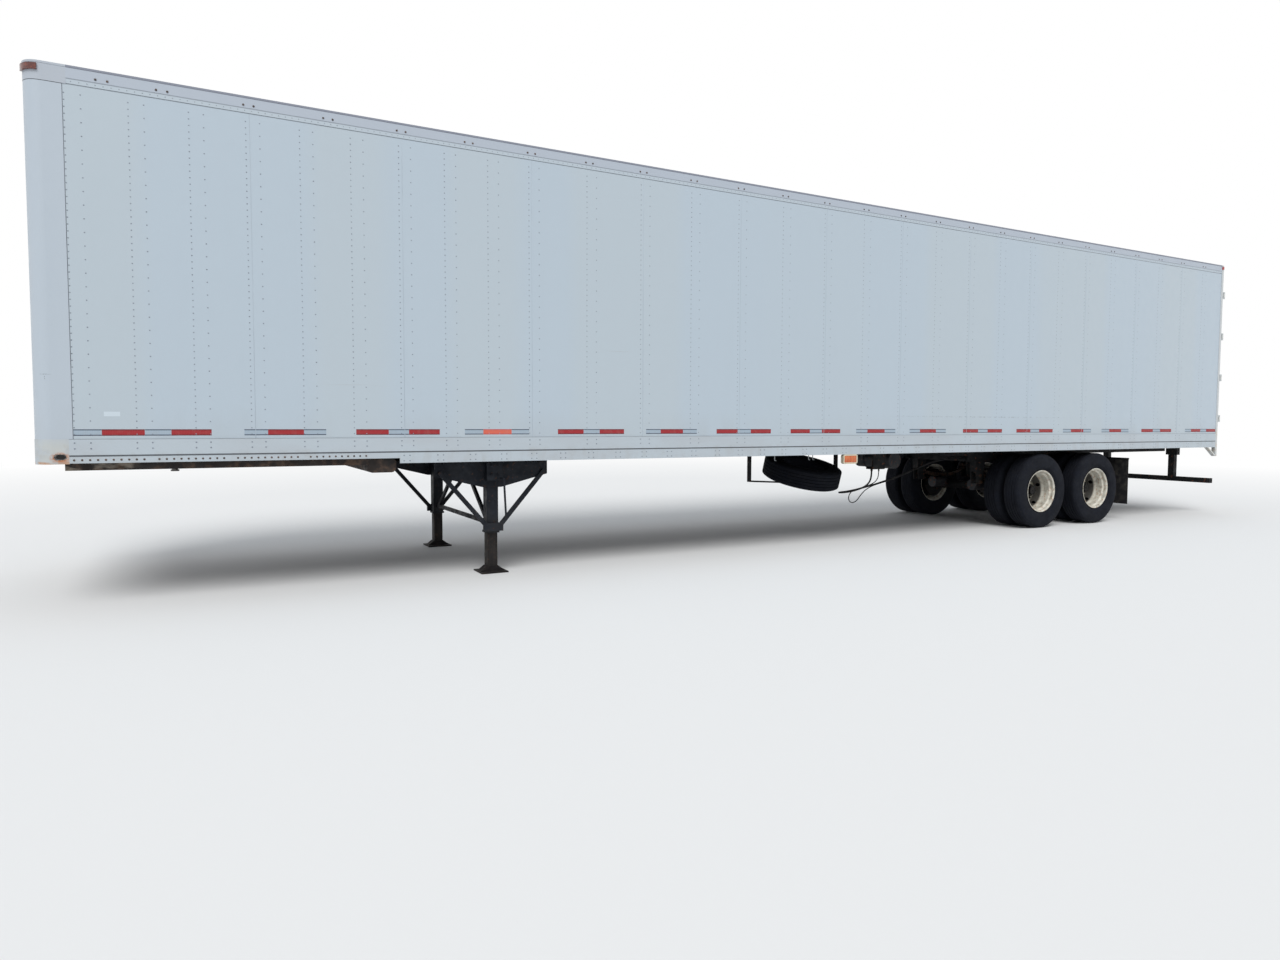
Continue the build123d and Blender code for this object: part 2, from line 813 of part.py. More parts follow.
def make_door_hardware():
    """Straps, barrels, the lock rod, its brackets, cams and handle of the curb-side door."""
    strap_low_y = door_outer_y - hinge_strap_reach
    strap_out_y = half_width - post_width - hinge_strap_clear_of_post
    strap_in_y = strap_out_y - hinge_strap_gauge
    strap_x = rear_x + hinge_strap_clear_of_face
    rod_low = door_bottom_z - lock_rod_overrun
    rod_high = door_top_z + lock_rod_overrun
    gear = rod((lock_rod_x, lock_rod_from_middle, rod_low), (lock_rod_x, lock_rod_from_middle, rod_high),
               lock_rod_radius)
    cam_reach = lock_rod_radius + lock_cam_wall
    cam_x = (lock_rod_x - cam_reach, lock_rod_x + cam_reach)
    cam_y = (lock_rod_from_middle - lock_cam_width / 2, lock_rod_from_middle + lock_cam_width / 2)
    gear += block(cam_x, cam_y, (rod_low, rod_low + lock_cam_height))
    gear += block(cam_x, cam_y, (rod_high - lock_cam_height, rod_high))
    for z in hinge_places():
        gear += block((door_face_x, lock_rod_x), cam_y, (z - lock_cam_height / 2, z + lock_cam_height / 2))
    gear += block((lock_rod_x - lock_handle_gauge / 2, lock_rod_x + lock_handle_gauge / 2),
                  (lock_rod_from_middle, lock_rod_from_middle + lock_handle_length),
                  (lock_handle_z - lock_handle_height / 2, lock_handle_z + lock_handle_height / 2))
    catch_y = lock_rod_from_middle + lock_handle_length
    gear += block((door_face_x, lock_rod_x + lock_handle_gauge),
                  (catch_y - lock_handle_height, catch_y),
                  (lock_handle_z - lock_handle_height, lock_handle_z + lock_handle_height / 2))
    pieces = [gear]
    for z in hinge_places():
        strap = run_z([
            (door_face_x, strap_low_y),
            (door_face_x, strap_out_y),
            (strap_x, strap_out_y),
            (strap_x, pin_y),
            (pin_x, pin_y),
            (pin_x, pin_y - hinge_barrel_radius),
            (strap_x + hinge_strap_gauge, pin_y - 2 * hinge_barrel_radius),
            (strap_x + hinge_strap_gauge, strap_in_y),
            (door_face_x + hinge_strap_gauge, strap_in_y),
            (door_face_x + hinge_strap_gauge, strap_low_y),
        ], z - hinge_barrel_half_height, z + hinge_barrel_half_height)
        strap += Pos(pin_x, pin_y, z) * Cylinder(hinge_barrel_radius, 2 * hinge_barrel_half_height)
        strap -= Pos(pin_x, pin_y, z) * Cylinder(hinge_pin_radius + hinge_pin_clearance,
                                                 4 * hinge_barrel_half_height)
        pieces.append(strap)
    return pieces


def make_doors():
    panel = block((door_face_x - door_thickness, door_face_x), (door_meeting_gap / 2, door_outer_y),
                  (door_bottom_z, door_top_z))
    hardware = make_door_hardware()
    write("door_curb", [panel])
    write("door_road", [other_side(panel)])
    write("door_gear_curb", hardware)
    write("door_gear_road", [other_side(piece) for piece in hardware])


def make_landing_legs():
    half = leg_outer_size / 2
    bore = half - leg_outer_wall
    y = leg_half_track
    tube = block((leg_x - half, leg_x + half), (y - half, y + half),
                 (leg_outer_bottom_z, crossmember_bottom_z))
    collar = half + leg_collar_wall
    tube += block((leg_x - collar, leg_x + collar), (y - collar, y + collar),
                  (leg_outer_bottom_z, leg_outer_bottom_z + leg_collar_height))
    tube -= block((leg_x - bore, leg_x + bore), (y - bore, y + bore),
                  (leg_outer_bottom_z, crossmember_bottom_z - leg_outer_wall))
    write("leg_tubes", both_sides(tube))
    slide = bore - leg_slide_clearance
    hollow = slide - leg_inner_wall
    foot_z = shoe_gauge + shoe_block_height
    inner = block((leg_x - slide, leg_x + slide), (y - slide, y + slide), (foot_z, leg_inner_top_z))
    inner -= block((leg_x - hollow, leg_x + hollow), (y - hollow, y + hollow), (foot_z, leg_inner_top_z))
    write("leg_slides", both_sides(inner))
    shoe = block((leg_x - shoe_width / 2, leg_x + shoe_width / 2), (y - shoe_width / 2, y + shoe_width / 2),
                 (0.0, shoe_gauge))
    wide = shoe_width / 2 - shoe_gauge
    tall = shoe_block_top / 2
    shoe += run_y([
        (leg_x - wide, shoe_gauge),
        (leg_x + wide, shoe_gauge),
        (leg_x + tall, foot_z),
        (leg_x - tall, foot_z),
    ], y - tall, y + tall)
    write("leg_shoes", both_sides(shoe))
    make_leg_braces(half)
    make_leg_drive(half)


def make_leg_braces(half):
    """A wing plate with two struts outside each leg, the tie bar between legs and the V above it."""
    y = leg_half_track
    outer = y + half
    top = crossmember_bottom_z
    braces = run_y([
        (leg_x - wing_top_reach, top),
        (leg_x + wing_top_reach, top),
        (leg_x + wing_top_reach, top - wing_edge_height),
        (leg_x + wing_bottom_reach, top - wing_height),
        (leg_x - wing_bottom_reach, top - wing_height),
        (leg_x - wing_top_reach, top - wing_edge_height),
    ], outer, outer + wing_gauge)
    for direction in (-1, 1):
        foot = (leg_x + direction * half, outer + brace_gauge / 2 + wing_gauge, brace_foot_z)
        head = (leg_x + direction * brace_reach, outer + brace_gauge / 2 + wing_gauge, top - brace_head_drop)
        braces += bar(foot, head, brace_gauge, brace_width)
        braces += block(sorted((leg_x, leg_x + direction * (half + brace_width))),
                        (outer, outer + brace_gauge + wing_gauge),
                        (brace_foot_z - brace_width, brace_foot_z + brace_width))
    inner = y - half
    tie = block((leg_x - brace_gauge / 2, leg_x + brace_gauge / 2), (-inner, inner),
                (tie_bar_z - brace_width / 2, tie_bar_z + brace_width / 2))
    for side in (-1, 1):
        tie += bar((leg_x, side * (inner - brace_width), tie_bar_z),
                   (leg_x, side * brace_width, crossmember_bottom_z - brace_width / 2),
                   brace_gauge, brace_width, side=(1, 0, 0))
    tie += block((leg_x - brace_gauge / 2, leg_x + brace_gauge / 2),
                 (-tie_gusset_half_width, tie_gusset_half_width),
                 (crossmember_bottom_z - tie_gusset_height, crossmember_bottom_z))
    write("leg_braces", both_sides(braces))
    write("leg_tie_frame", [tie])


def make_leg_drive(half):
    """Cross shaft between the two legs, gearbox and folded crank on the road side."""
    inner = leg_half_track - half
    shaft_x = leg_x + cross_shaft_from_leg
    shaft = rod((shaft_x, -inner, cross_shaft_z), (shaft_x, inner, cross_shaft_z), cross_shaft_radius)
    face_y = -(leg_half_track + half)
    box_y = (face_y - wing_gauge - gearbox_depth, face_y - wing_gauge)
    box_x = (leg_x - gearbox_width / 2, leg_x + gearbox_width / 2)
    box_z = (crossmember_bottom_z - gearbox_height, crossmember_bottom_z)
    gearbox = block(box_x, box_y, box_z)
    start_x = leg_x + gearbox_width / 2 - crank_radius * 2
    shaft_z = cross_shaft_z
    elbow_y = box_y[0] - crank_out
    crank = rod((start_x, box_y[0], shaft_z), (start_x, elbow_y, shaft_z), crank_radius)
    crank += Pos(start_x, elbow_y, shaft_z) * Sphere(crank_radius)
    hang_x = leg_x + crank_from_leg
    crank += rod((start_x, elbow_y, shaft_z), (hang_x, elbow_y, shaft_z - crank_drop), crank_radius)
    write("leg_drive", [shaft, gearbox + crank])


def tyre_section(middle_y):
    """Half-round casing with a ribbed tread, as (radius, y) points about middle_y."""
    half = tyre_width / 2
    bore = rim_bead_radius + tyre_bore_clearance
    bead_half = rim_half_width - tyre_bead_inset
    half_section = [  # radius, distance from the middle
        (bore, bead_half),
        (rim_flange_radius + tyre_bead_rise, bead_half),
        (rim_flange_radius + tyre_lower_wall[0], half - tyre_lower_wall[1]),
        (rim_flange_radius + tyre_widest_rise, half),
        (tyre_radius - tyre_upper_wall[0], half - tyre_upper_wall[1]),
        (tyre_radius - tyre_shoulder, tread_half_width + tyre_shoulder),
        (tyre_radius, tread_half_width),
    ]
    right = [(radius, middle_y + y) for radius, y in half_section]
    left = [(radius, middle_y - y) for radius, y in reversed(half_section)]
    return right + left


def rim_section(middle_y):
    """Drop-centre rim barrel as (radius, y) points about middle_y."""
    outer_half = [  # radius, distance from the middle
        (rim_flange_radius, rim_half_width),
        (rim_bead_radius, rim_half_width - rim_flange_width),
        (rim_bead_radius, rim_half_width - rim_seat_end),
        (rim_bead_radius - rim_well_depth, rim_half_width - rim_well_start),
    ]
    outer = [(radius, middle_y + y) for radius, y in outer_half]
    outer += [(radius, middle_y - y) for radius, y in reversed(outer_half)]
    inner = [(radius - rim_gauge, y) for radius, y in reversed(outer)]
    return outer + inner


def wheel_disc(direction):
    """Dished disc of one wheel; direction 1 opens towards the outside of the trailer."""
    well = rim_bead_radius - rim_well_depth - rim_gauge / 2
    rim_middle = dual_spacing / 2
    join = rim_middle - rim_half_width + rim_well_start + disc_join_margin
    profile = [  # radius, distance from the plane where the two wheels meet
        (disc_bore_radius, 0.0),
        (disc_flat_radius, 0.0),
        (well, join),
        (well, join + 2 * disc_gauge),
        (disc_flat_radius, disc_gauge),
        (disc_bore_radius, disc_gauge),
    ]
    return [(radius, disc_plane_y + direction * y) for radius, y in profile]


def hand_holes(x, direction):
    """The round holes through the sloping wall of one wheel's disc."""
    y = disc_plane_y + direction * hand_hole_from_plane
    holes = []
    for number in range(hand_hole_count):
        turn = 2 * math.pi * number / hand_hole_count
        ends = [(x + reach * math.sin(turn), y, axle_z + reach * math.cos(turn)) for reach in hand_hole_reach]
        holes.append(rod(*ends, hand_hole_radius))
    return holes


def hub_section():
    """Hub, drum and cap as one turned profile of (radius, y) points."""
    face = disc_plane_y - disc_gauge
    flange_in = face - hub_flange_gauge
    drum_back = flange_in - drum_back_from_flange
    plate_in = drum_back - drum_wall
    drum_open = drum_back - drum_depth
    bore = spindle_radius + spindle_clearance
    pilot = face + hub_pilot_length
    cap_end = disc_plane_y + hub_cap_reach
    cap_start = cap_end - hub_cap_length
    root = drum_open + hub_root_recess
    return [
        (bore, root),
        (hub_root_radius, root),
        (hub_root_radius, plate_in),
        (drum_radius - drum_wall, plate_in),
        (drum_radius - drum_wall, drum_open),
        (drum_radius, drum_open),
        (drum_radius, drum_back),
        (hub_pilot_radius, drum_back),
        (hub_pilot_radius, flange_in),
        (hub_flange_radius, flange_in),
        (hub_flange_radius, face),
        (hub_pilot_radius, face),
        (hub_pilot_radius, pilot),
        (hub_barrel_radius, pilot),
        (hub_barrel_radius, cap_start),
        (hub_cap_radius, cap_start + hub_cap_chamfer),
        (hub_cap_radius, cap_end),
        (0, cap_end),
        (0, cap_start),
        (bore, cap_start),
    ]


def make_wheels():
    half_spacing = dual_spacing / 2
    for index, x in enumerate(axle_xs, start=1):
        tyres = [turn_y(tyre_section(disc_plane_y + d * half_spacing), x, axle_z) for d in (-1, 1)]
        rims = []
        for direction in (-1, 1):
            rim = turn_y(rim_section(disc_plane_y + direction * half_spacing), x, axle_z)
            rim += turn_y(wheel_disc(direction), x, axle_z)
            for hole in hand_holes(x, direction):
                rim -= hole
            rims.append(rim)
        hub = turn_y(hub_section(), x, axle_z)
        for side, place in (("curb", 1), ("road", -1)):
            name = f"{side}_{index}"
            for label, solids in (("tyres", tyres), ("rims", rims), ("hub", [hub])):
                placed = solids if place > 0 else [other_side(solid) for solid in solids]
                write(f"{label}_{name}", placed)


def spring_pack(x):
    """Stacked arc leaves, longest on top, all bent about one centre above the axle."""
    centre_z = spring_top_z + spring_arc_radius
    pack = None
    for number, half_length in enumerate(spring_half_lengths):
        inner = spring_arc_radius + number * spring_leaf
        outer = inner + spring_leaf
        lean = math.asin(half_length / inner)
        tip_in = (inner * math.sin(lean), centre_z - inner * math.cos(lean))
        tip_out = (outer * math.sin(lean), centre_z - outer * math.cos(lean))
        edges = [
            ThreePointArc((-tip_in[0], tip_in[1]), (0, centre_z - inner), tip_in),
            Line(tip_in, tip_out),
            ThreePointArc(tip_out, (0, centre_z - outer), (-tip_out[0], tip_out[1])),
            Line((-tip_out[0], tip_out[1]), (-tip_in[0], tip_in[1])),
        ]
        plane = Plane(origin=(x, spring_half_track - spring_width / 2, 0), x_dir=(1, 0, 0), z_dir=(0, -1, 0))
        leaf = extrude(plane * make_face(edges), spring_width, dir=(0, 1, 0))
        pack = leaf if pack is None else pack + leaf
    return pack


def hanger(x, half_lengths, slot_top_z):
    """A tapered box with two side plates that straddle the spring below its cam."""
    top_half, bottom_half = half_lengths
    bottom_z = hanger_bottom_z
    y_low = spring_half_track - hanger_width / 2
    body = run_y([
        (x - top_half, bogie_rail_bottom_z),
        (x + top_half, bogie_rail_bottom_z),
        (x + bottom_half, bottom_z),
        (x - bottom_half, bottom_z),
    ], y_low, y_low + hanger_width)
    slot_y = (y_low + hanger_plate, y_low + hanger_width - hanger_plate)
    reach = max(top_half, bottom_half)
    return body - block((x - reach, x + reach), slot_y, (bottom_z, slot_top_z))


def make_suspension():
    springs = []
    hangers = []
    equalizers = []
    rods = []
    middle_x = sum(axle_xs) / 2
    y = spring_half_track
    for x in axle_xs:
        springs += both_sides(spring_pack(x))
    pin_z = cam_z + equalizer_depth / 2
    ends = [axle_xs[0] - hanger_from_axle, axle_xs[1] + hanger_from_axle]
    for x in ends:
        hangers += both_sides(hanger(x, end_hanger_half_lengths, cam_z))
    middle = hanger(middle_x, middle_hanger_half_lengths, bogie_rail_bottom_z - hanger_plate)
    middle -= Pos(middle_x, y, pin_z) * Rot(90, 0, 0) * Cylinder(equalizer_pin_radius + spring_end_clearance,
                                                                   2 * hanger_width)
    hangers += both_sides(middle)
    beam = run_y([
        (middle_x - equalizer_half_length, cam_z),
        (middle_x + equalizer_half_length, cam_z),
        (middle_x + equalizer_half_length, cam_z + equalizer_end_depth),
        (middle_x + equalizer_boss_half_length, cam_z + equalizer_depth),
        (middle_x - equalizer_boss_half_length, cam_z + equalizer_depth),
        (middle_x - equalizer_half_length, cam_z + equalizer_end_depth),
    ], y - spring_width / 2, y + spring_width / 2)
    beam += Pos(middle_x, y, pin_z) * Rot(90, 0, 0) * Cylinder(equalizer_pin_radius, hanger_width)
    equalizers += both_sides(beam)
    for axle, anchor in zip(axle_xs, (ends[0], middle_x)):
        inside = hanger_width - 2 * hanger_plate
        start = (anchor, y, radius_rod_hanger_z)
        end = (axle - axle_tube_radius, y, axle_z + axle_tube_radius / 2)
        link = rod(start, end, radius_rod_radius)
        link += Pos(*start) * Rot(90, 0, 0) * Cylinder(radius_rod_eye_radius, inside)
        link -= Pos(axle, y, axle_z) * Rot(90, 0, 0) * Cylinder(axle_tube_radius, 2 * hanger_width)
        rods += both_sides(link)
    write("spring_hangers", hangers)
    write("leaf_springs", springs)
    write("equalizers", equalizers)
    write("radius_rods", rods)


def u_bolts(x):
    """Two U-bolts round the axle, with the plates that clamp the spring between them."""
    y = spring_half_track
    x_range = (x - u_bolt_along - u_bolt_plate_margin, x + u_bolt_along + u_bolt_plate_margin)
    y_range = (y - u_bolt_across - u_bolt_plate_margin, y + u_bolt_across + u_bolt_plate_margin)
    low = axle_z - axle_tube_radius + u_bolt_grip - u_bolt_plate_gauge
    high = spring_top_z + u_bolt_top_gap
    clamp = block(x_range, y_range, (low, low + u_bolt_plate_gauge))
    clamp += block(x_range, y_range, (high, high + u_bolt_plate_gauge))
    for along in (-u_bolt_along, u_bolt_along):
        for across in (-u_bolt_across, u_bolt_across):
            clamp += rod((x + along, y + across, low - u_bolt_overrun),
                         (x + along, y + across, high + u_bolt_plate_gauge + u_bolt_overrun), u_bolt_radius)
    return clamp


def make_axles():
    axles = []
    chambers = []
    for x in axle_xs:
        face = disc_plane_y - disc_gauge
        spindle_end = disc_plane_y + hub_cap_reach - hub_cap_length - spindle_end_gap
        shield_y = face - hub_flange_gauge - drum_back_from_flange - drum_depth - shield_gauge - shield_gap
        half = turn_y([
            (0, 0),
            (axle_tube_radius, 0),
            (axle_tube_radius, shield_y),
            (shield_radius, shield_y),
            (shield_radius, shield_y + shield_gauge),
            (spindle_radius, shield_y + shield_gauge),
            (spindle_radius, spindle_end),
            (0, spindle_end),
        ], x, axle_z)
        seat = block((x - spring_seat_half_length, x + spring_seat_half_length),
                     (spring_half_track - spring_width / 2, spring_half_track + spring_width / 2),
                     (axle_z, spring_bottom_z))
        arm_z = (axle_z, axle_z + chamber_lift)
        plate_x = x - chamber_from_axle
        arm_y = (chamber_from_middle - chamber_arm_width / 2, chamber_from_middle + chamber_arm_width / 2)
        arm = block((plate_x, x), arm_y, arm_z)
        chamber_z = axle_z + chamber_lift
        arm += block((plate_x, plate_x + chamber_plate),
                     (chamber_from_middle - chamber_radius, chamber_from_middle + chamber_radius),
                     (chamber_z - chamber_radius, chamber_z + chamber_radius))
        half += seat + arm + u_bolts(x)
        axles.append(half + other_side(half))
        chamber = rod((plate_x - chamber_length, chamber_from_middle, chamber_z),
                      (plate_x, chamber_from_middle, chamber_z), chamber_radius)
        chambers += both_sides(chamber)
    write("axles", axles)
    write("brake_chambers", chambers)


def make_slider():
    y = spring_half_track
    half = slide_rail_inside / 2
    gauge = slide_rail_gauge
    low = slide_rail_bottom_z
    high = crossmember_bottom_z
    slide = run_x([
        (y - half - gauge, low),
        (y - half - gauge, high),
        (y + half + gauge, high),
        (y + half + gauge, low),
        (y + half, low),
        (y + half, high - gauge),
        (y - half, high - gauge),
        (y - half, low),
    ], nose_x + slide_rail_start_from_nose, rear_x - slide_rail_end_from_rear)
    write("slide_rails", both_sides(slide))
    half = bogie_rail_half
    gauge = bogie_rail_gauge
    low = bogie_rail_bottom_z
    high = bogie_rail_top_z
    channel = run_x([
        (y - half, low),
        (y + half, low),
        (y + half, high),
        (y - half, high),
        (y - half, high - gauge),
        (y + half - gauge, high - gauge),
        (y + half - gauge, low + gauge),
        (y - half, low + gauge),
    ], bogie_front_x, bogie_rear_x)
    frame = channel + other_side(channel)
    middle_x = sum(axle_xs) / 2
    places = (bogie_front_x + bogie_cross_width, middle_x, bogie_rear_x - bogie_cross_width)
    for x in places:
        frame += block((x - bogie_cross_width / 2, x + bogie_cross_width / 2),
                       (-(y + half - gauge), y + half - gauge), (low, low + bogie_cross_height))
    write("bogie_frame", [frame])


def make_air_tank():
    x = nose_x + tank_from_nose
    tank = rod((x, -tank_length / 2, tank_z), (x, tank_length / 2, tank_z), tank_radius)
    pieces = [tank]
    for side in (-1, 1):
        y = side * tank_length / 4
        reach = tank_radius + tank_bracket_margin
        bracket = block((x - reach, x + reach), (y - tank_strap_width / 2, y + tank_strap_width / 2),
                        (tank_z, crossmember_bottom_z))
        strap = Cylinder(tank_radius + tank_strap_gauge, tank_strap_width)
        bracket += Pos(x, y, tank_z) * Rot(90, 0, 0) * strap
        bracket -= Pos(x, y, tank_z) * Rot(90, 0, 0) * Cylinder(tank_radius, 2 * tank_strap_width)
        pieces.append(bracket)
    write("air_tank", pieces)


def make_mud_flaps():
    x = nose_x + flap_from_nose
    start = spring_half_track + bogie_rail_half
    outer_y = half_width - flap_inset_from_side
    bracket = rod((x + flap_gauge / 2, start, flap_bar_z), (x + flap_gauge / 2, outer_y, flap_bar_z),
                  flap_bar_radius)
    flap = block((x, x + flap_gauge), (outer_y - flap_width, outer_y),
                 (flap_bottom_z, flap_bar_z - flap_bar_radius))
    write("mud_flap_bars", both_sides(bracket))
    write("mud_flaps", both_sides(flap))


def make_rear_guard():
    high_x = rear_x - guard_from_rear
    low_x = high_x - guard_bar_depth
    half_length = half_width - guard_end_inset
    guard = block((low_x, high_x), (-half_length, half_length), (guard_bar_z, guard_bar_z + guard_bar_height))
    for side in (-1, 1):
        y = side * guard_post_half_track
        guard += block((low_x, high_x), (y - guard_post_width / 2, y + guard_post_width / 2),
                       (guard_bar_z, rail_bottom_z))
        guard += block((low_x, high_x), (y - guard_head_width / 2, y + guard_head_width / 2),
                       (rail_bottom_z - guard_head_height, rail_bottom_z))
    write("rear_guard", [guard])


def make_spare():
    """A tyre lying on its side, leaning down to the road side, on a U-shaped strap under the floor."""
    middle_x = nose_x + spare_from_nose
    tyre = turn_y(tyre_section(0.0), 0.0, 0.0)
    tyre = Pos(middle_x, 0, spare_z) * Rot(0, spare_tilt, 0) * Rot(spare_lean, 0, 0) * Rot(90, 0, 0) * tyre
    write("spare_tyre", [tyre])
    tilt = math.radians(spare_tilt)
    lean = math.radians(spare_lean)
    half = carrier_width / 2
    slope = math.tan(tilt)
    drop = (tyre_width / 2 / math.cos(lean) + half * math.tan(lean)) / math.cos(tilt)
    face_z = spare_z - drop
    front_x = middle_x - carrier_front_overhang
    back_x = middle_x + carrier_rear_overhang
    front_z = face_z + slope * carrier_front_overhang
    back_z = face_z - slope * carrier_rear_overhang
    gauge = carrier_gauge
    top_z = crossmember_bottom_z
    strap = run_y([
        (front_x - carrier_foot, top_z),
        (front_x, top_z),
        (front_x, front_z),
        (back_x, back_z),
        (back_x, top_z),
        (back_x + carrier_foot, top_z),
        (back_x + carrier_foot, top_z - gauge),
        (back_x + gauge, top_z - gauge),
        (back_x + gauge, back_z - gauge),
        (front_x - gauge, front_z - gauge),
        (front_x - gauge, top_z - gauge),
        (front_x - carrier_foot, top_z - gauge),
    ], -half, half)
    write("spare_carrier", [strap])


def corner_lamp(low):
    """A marker lamp bent round the front corner."""
    first, last = [math.radians(turn) for turn in marker_turn]
    middle = (first + last) / 2

    def on_arc(radius, turn):
        x = nose_x + corner_radius - radius * math.cos(turn)
        return (x, half_width - corner_radius + radius * math.sin(turn))

    inner = corner_radius - top_rail_relief
    outer = corner_radius + side_lamp_depth
    edges = [
        ThreePointArc(on_arc(outer, first), on_arc(outer, middle), on_arc(outer, last)),
        Line(on_arc(outer, last), on_arc(inner, last)),
        ThreePointArc(on_arc(inner, last), on_arc(inner, middle), on_arc(inner, first)),
        Line(on_arc(inner, first), on_arc(outer, first)),
    ]
    return extrude(Pos(0, 0, low) * make_face(edges), marker_height, dir=(0, 0, 1))


def make_lamps():
    low = body_height - marker_below_top - marker_height
    front = corner_lamp(low)
    place = (nose_x + mid_lamp_from_nose, half_width - mid_lamp_inset, rail_bottom_z - mid_lamp_height / 2)
    face = Plane(origin=place, x_dir=(1, 0, 0), z_dir=(0, -1, 0))
    outline = face * RectangleRounded(mid_lamp_length, mid_lamp_height, mid_lamp_corner)
    middle = extrude(outline, mid_lamp_depth)
    write("amber_lamps", both_sides(front) + both_sides(middle))
    red = []
    side = block((frame_x, frame_x + post_depth - post_pocket_depth),
                 (half_width, half_width + side_lamp_depth), (low, low + marker_height))
    red += both_sides(side)
    sill_z = (rail_bottom_z + floor_top_z) / 2
    for y in rear_lamps_from_middle:
        lamp = rod((rear_x, y, sill_z), (rear_x + rear_lamp_depth, y, sill_z), rear_lamp_radius)
        red += both_sides(lamp)
    for number in (-1, 0, 1):
        y = number * id_lamp_pitch
        red.append(block((rear_x, rear_x + rear_lamp_depth), (y - id_lamp_length / 2, y + id_lamp_length / 2),
                         (low, low + id_lamp_height)))
    write("red_lamps", red)


def hose_tube(name, points, radius):
    """A hose along straight runs, each corner as round as its shorter run allows."""
    radii = []
    for before, here, after in zip(points, points[1:], points[2:]):
        back = Vector(*before) - Vector(*here)
        ahead = Vector(*after) - Vector(*here)
        half_turn = math.radians(180 - back.get_angle(ahead)) / 2
        radii.append(hose_corner_share * min(back.length, ahead.length) / math.tan(half_turn))
    print(name, "corner radii", [round(value) for value in radii])
    path = FilletPolyline(*points, radius=radii)
    start = Plane(origin=path @ 0, z_dir=path % 0)
    return sweep(start * Circle(radius), path=path)


def make_hoses():
    """Two hoses from a valve bracket under the floor, forward in a loop and back to the bogie."""
    exits = (supply_route[0][0] + service_route[0][0]) / 2
    x_range = [nose_x + exits + reach for reach in hose_bracket_x_reach]
    plate_y = hose_bracket_y
    bracket = block(x_range, plate_y, (hose_shelf_z[0], crossmember_bottom_z))
    bracket += block(x_range, (plate_y[1], hose_shelf_y), hose_shelf_z)
    bracket += rod((nose_x + exits, hose_valve_y, hose_shelf_z[1]),
                   (nose_x + exits, hose_valve_y, hose_shelf_z[1] + hose_valve_height), hose_valve_radius)
    bogie_face_x = bogie_front_x + bogie_cross_width / 2
    collars = []
    hoses = [  # name, route, radius
        ("hose_supply", supply_route, supply_hose_radius),
        ("hose_service", service_route, service_hose_radius),
    ]
    for name, route, radius in hoses:
        points = [(nose_x + x, y, z) for x, y, z in route]
        write(name, [hose_tube(name, points, radius)])
        collar = radius + hose_collar_wall
        x, y, z = points[0]
        bracket += rod((x, y, z), (x, y, hose_shelf_z[0]), collar)
        x, y, z = points[-1]
        collars.append(rod((x, y, z), (bogie_face_x, y, z), collar))
    write("hose_fittings", [bracket] + collars)


def make_connectors():
    face = nose_x + sheet_setback
    plate = block((face - connector_plate_gauge, face),
                  (-connector_plate_half_width, connector_plate_half_width),
                  (connector_z - connector_plate_half_height, connector_z + connector_plate_half_height))
    front = face - connector_plate_gauge
    tip = nose_x - front_hardware
    for side in (-1, 1):
        y = side * gladhand_offset
        plate += rod((front, y, connector_z), (front - gladhand_length, y, connector_z), gladhand_radius)
    plate += rod((front, 0, connector_z), (tip, 0, connector_z), socket_radius)
    write("nose_connectors", [plate])


make_bottom_rails()
make_top_rails()
make_side_walls()
make_corners()
make_nose()
make_roof()
make_floor()
make_coupler()
make_rear_frame()
make_doors()
make_landing_legs()
make_wheels()
make_suspension()
make_axles()
make_slider()
make_air_tank()
make_mud_flaps()
make_rear_guard()
make_spare()
make_lamps()
make_hoses()
make_connectors()
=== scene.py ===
import bpy
import bmesh
import math
from mathutils import Matrix, Vector


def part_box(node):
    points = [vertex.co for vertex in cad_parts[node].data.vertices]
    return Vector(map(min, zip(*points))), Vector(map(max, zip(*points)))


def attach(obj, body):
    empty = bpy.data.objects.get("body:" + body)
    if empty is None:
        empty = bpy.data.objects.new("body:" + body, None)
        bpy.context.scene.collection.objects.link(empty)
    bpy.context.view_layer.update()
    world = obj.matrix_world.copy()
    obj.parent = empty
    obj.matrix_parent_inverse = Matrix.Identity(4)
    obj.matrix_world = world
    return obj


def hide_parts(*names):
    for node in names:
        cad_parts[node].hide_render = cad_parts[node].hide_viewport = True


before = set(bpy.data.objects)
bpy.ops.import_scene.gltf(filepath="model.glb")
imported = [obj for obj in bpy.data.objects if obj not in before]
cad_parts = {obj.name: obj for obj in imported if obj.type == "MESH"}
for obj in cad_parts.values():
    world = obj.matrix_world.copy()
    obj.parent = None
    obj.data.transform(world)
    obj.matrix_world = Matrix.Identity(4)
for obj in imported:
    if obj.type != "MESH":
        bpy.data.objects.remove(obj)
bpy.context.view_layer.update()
print("frame loaded,", len(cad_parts), "nodes")


def spanOf(node):  # the two corners of a node's box in metres, to a tenth of a millimetre
    return [[round(value, 4) for value in corner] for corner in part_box(node)]


# places shared by several pieces, taken from the frame where a node gives them
castings, posts, rails, rim = map(spanOf, ("corner_castings", "corner_posts", "bottom_rails", "rims_curb_1"))
trailer = {
    "noseX": castings[0][0],
    "castingEndX": castings[1][0],
    "sideStartX": posts[1][0],
    "firstPostX": -7.8046,  # the first column of rivets
    "frameX": rails[1][0],
    "doorX": spanOf("door_curb")[1][0],
    "wallY": spanOf("side_wall_curb")[1][1],
    "halfWidth": rails[1][1],
    "railBottom": rails[0][2],
    "railTop": rails[1][2],
    "topRailBottom": spanOf("top_rails")[0][2],
    "axleX": [(low[0] + high[0]) / 2 for low, high in map(spanOf, ("hub_curb_1", "hub_curb_2"))],
    "axleZ": spanOf("tyres_curb_1")[1][2] / 2,  # the tyres stand on the floor
    "discY": (rim[0][1] + rim[1][1]) / 2,
    "wheelSpacing": 0.343,
}
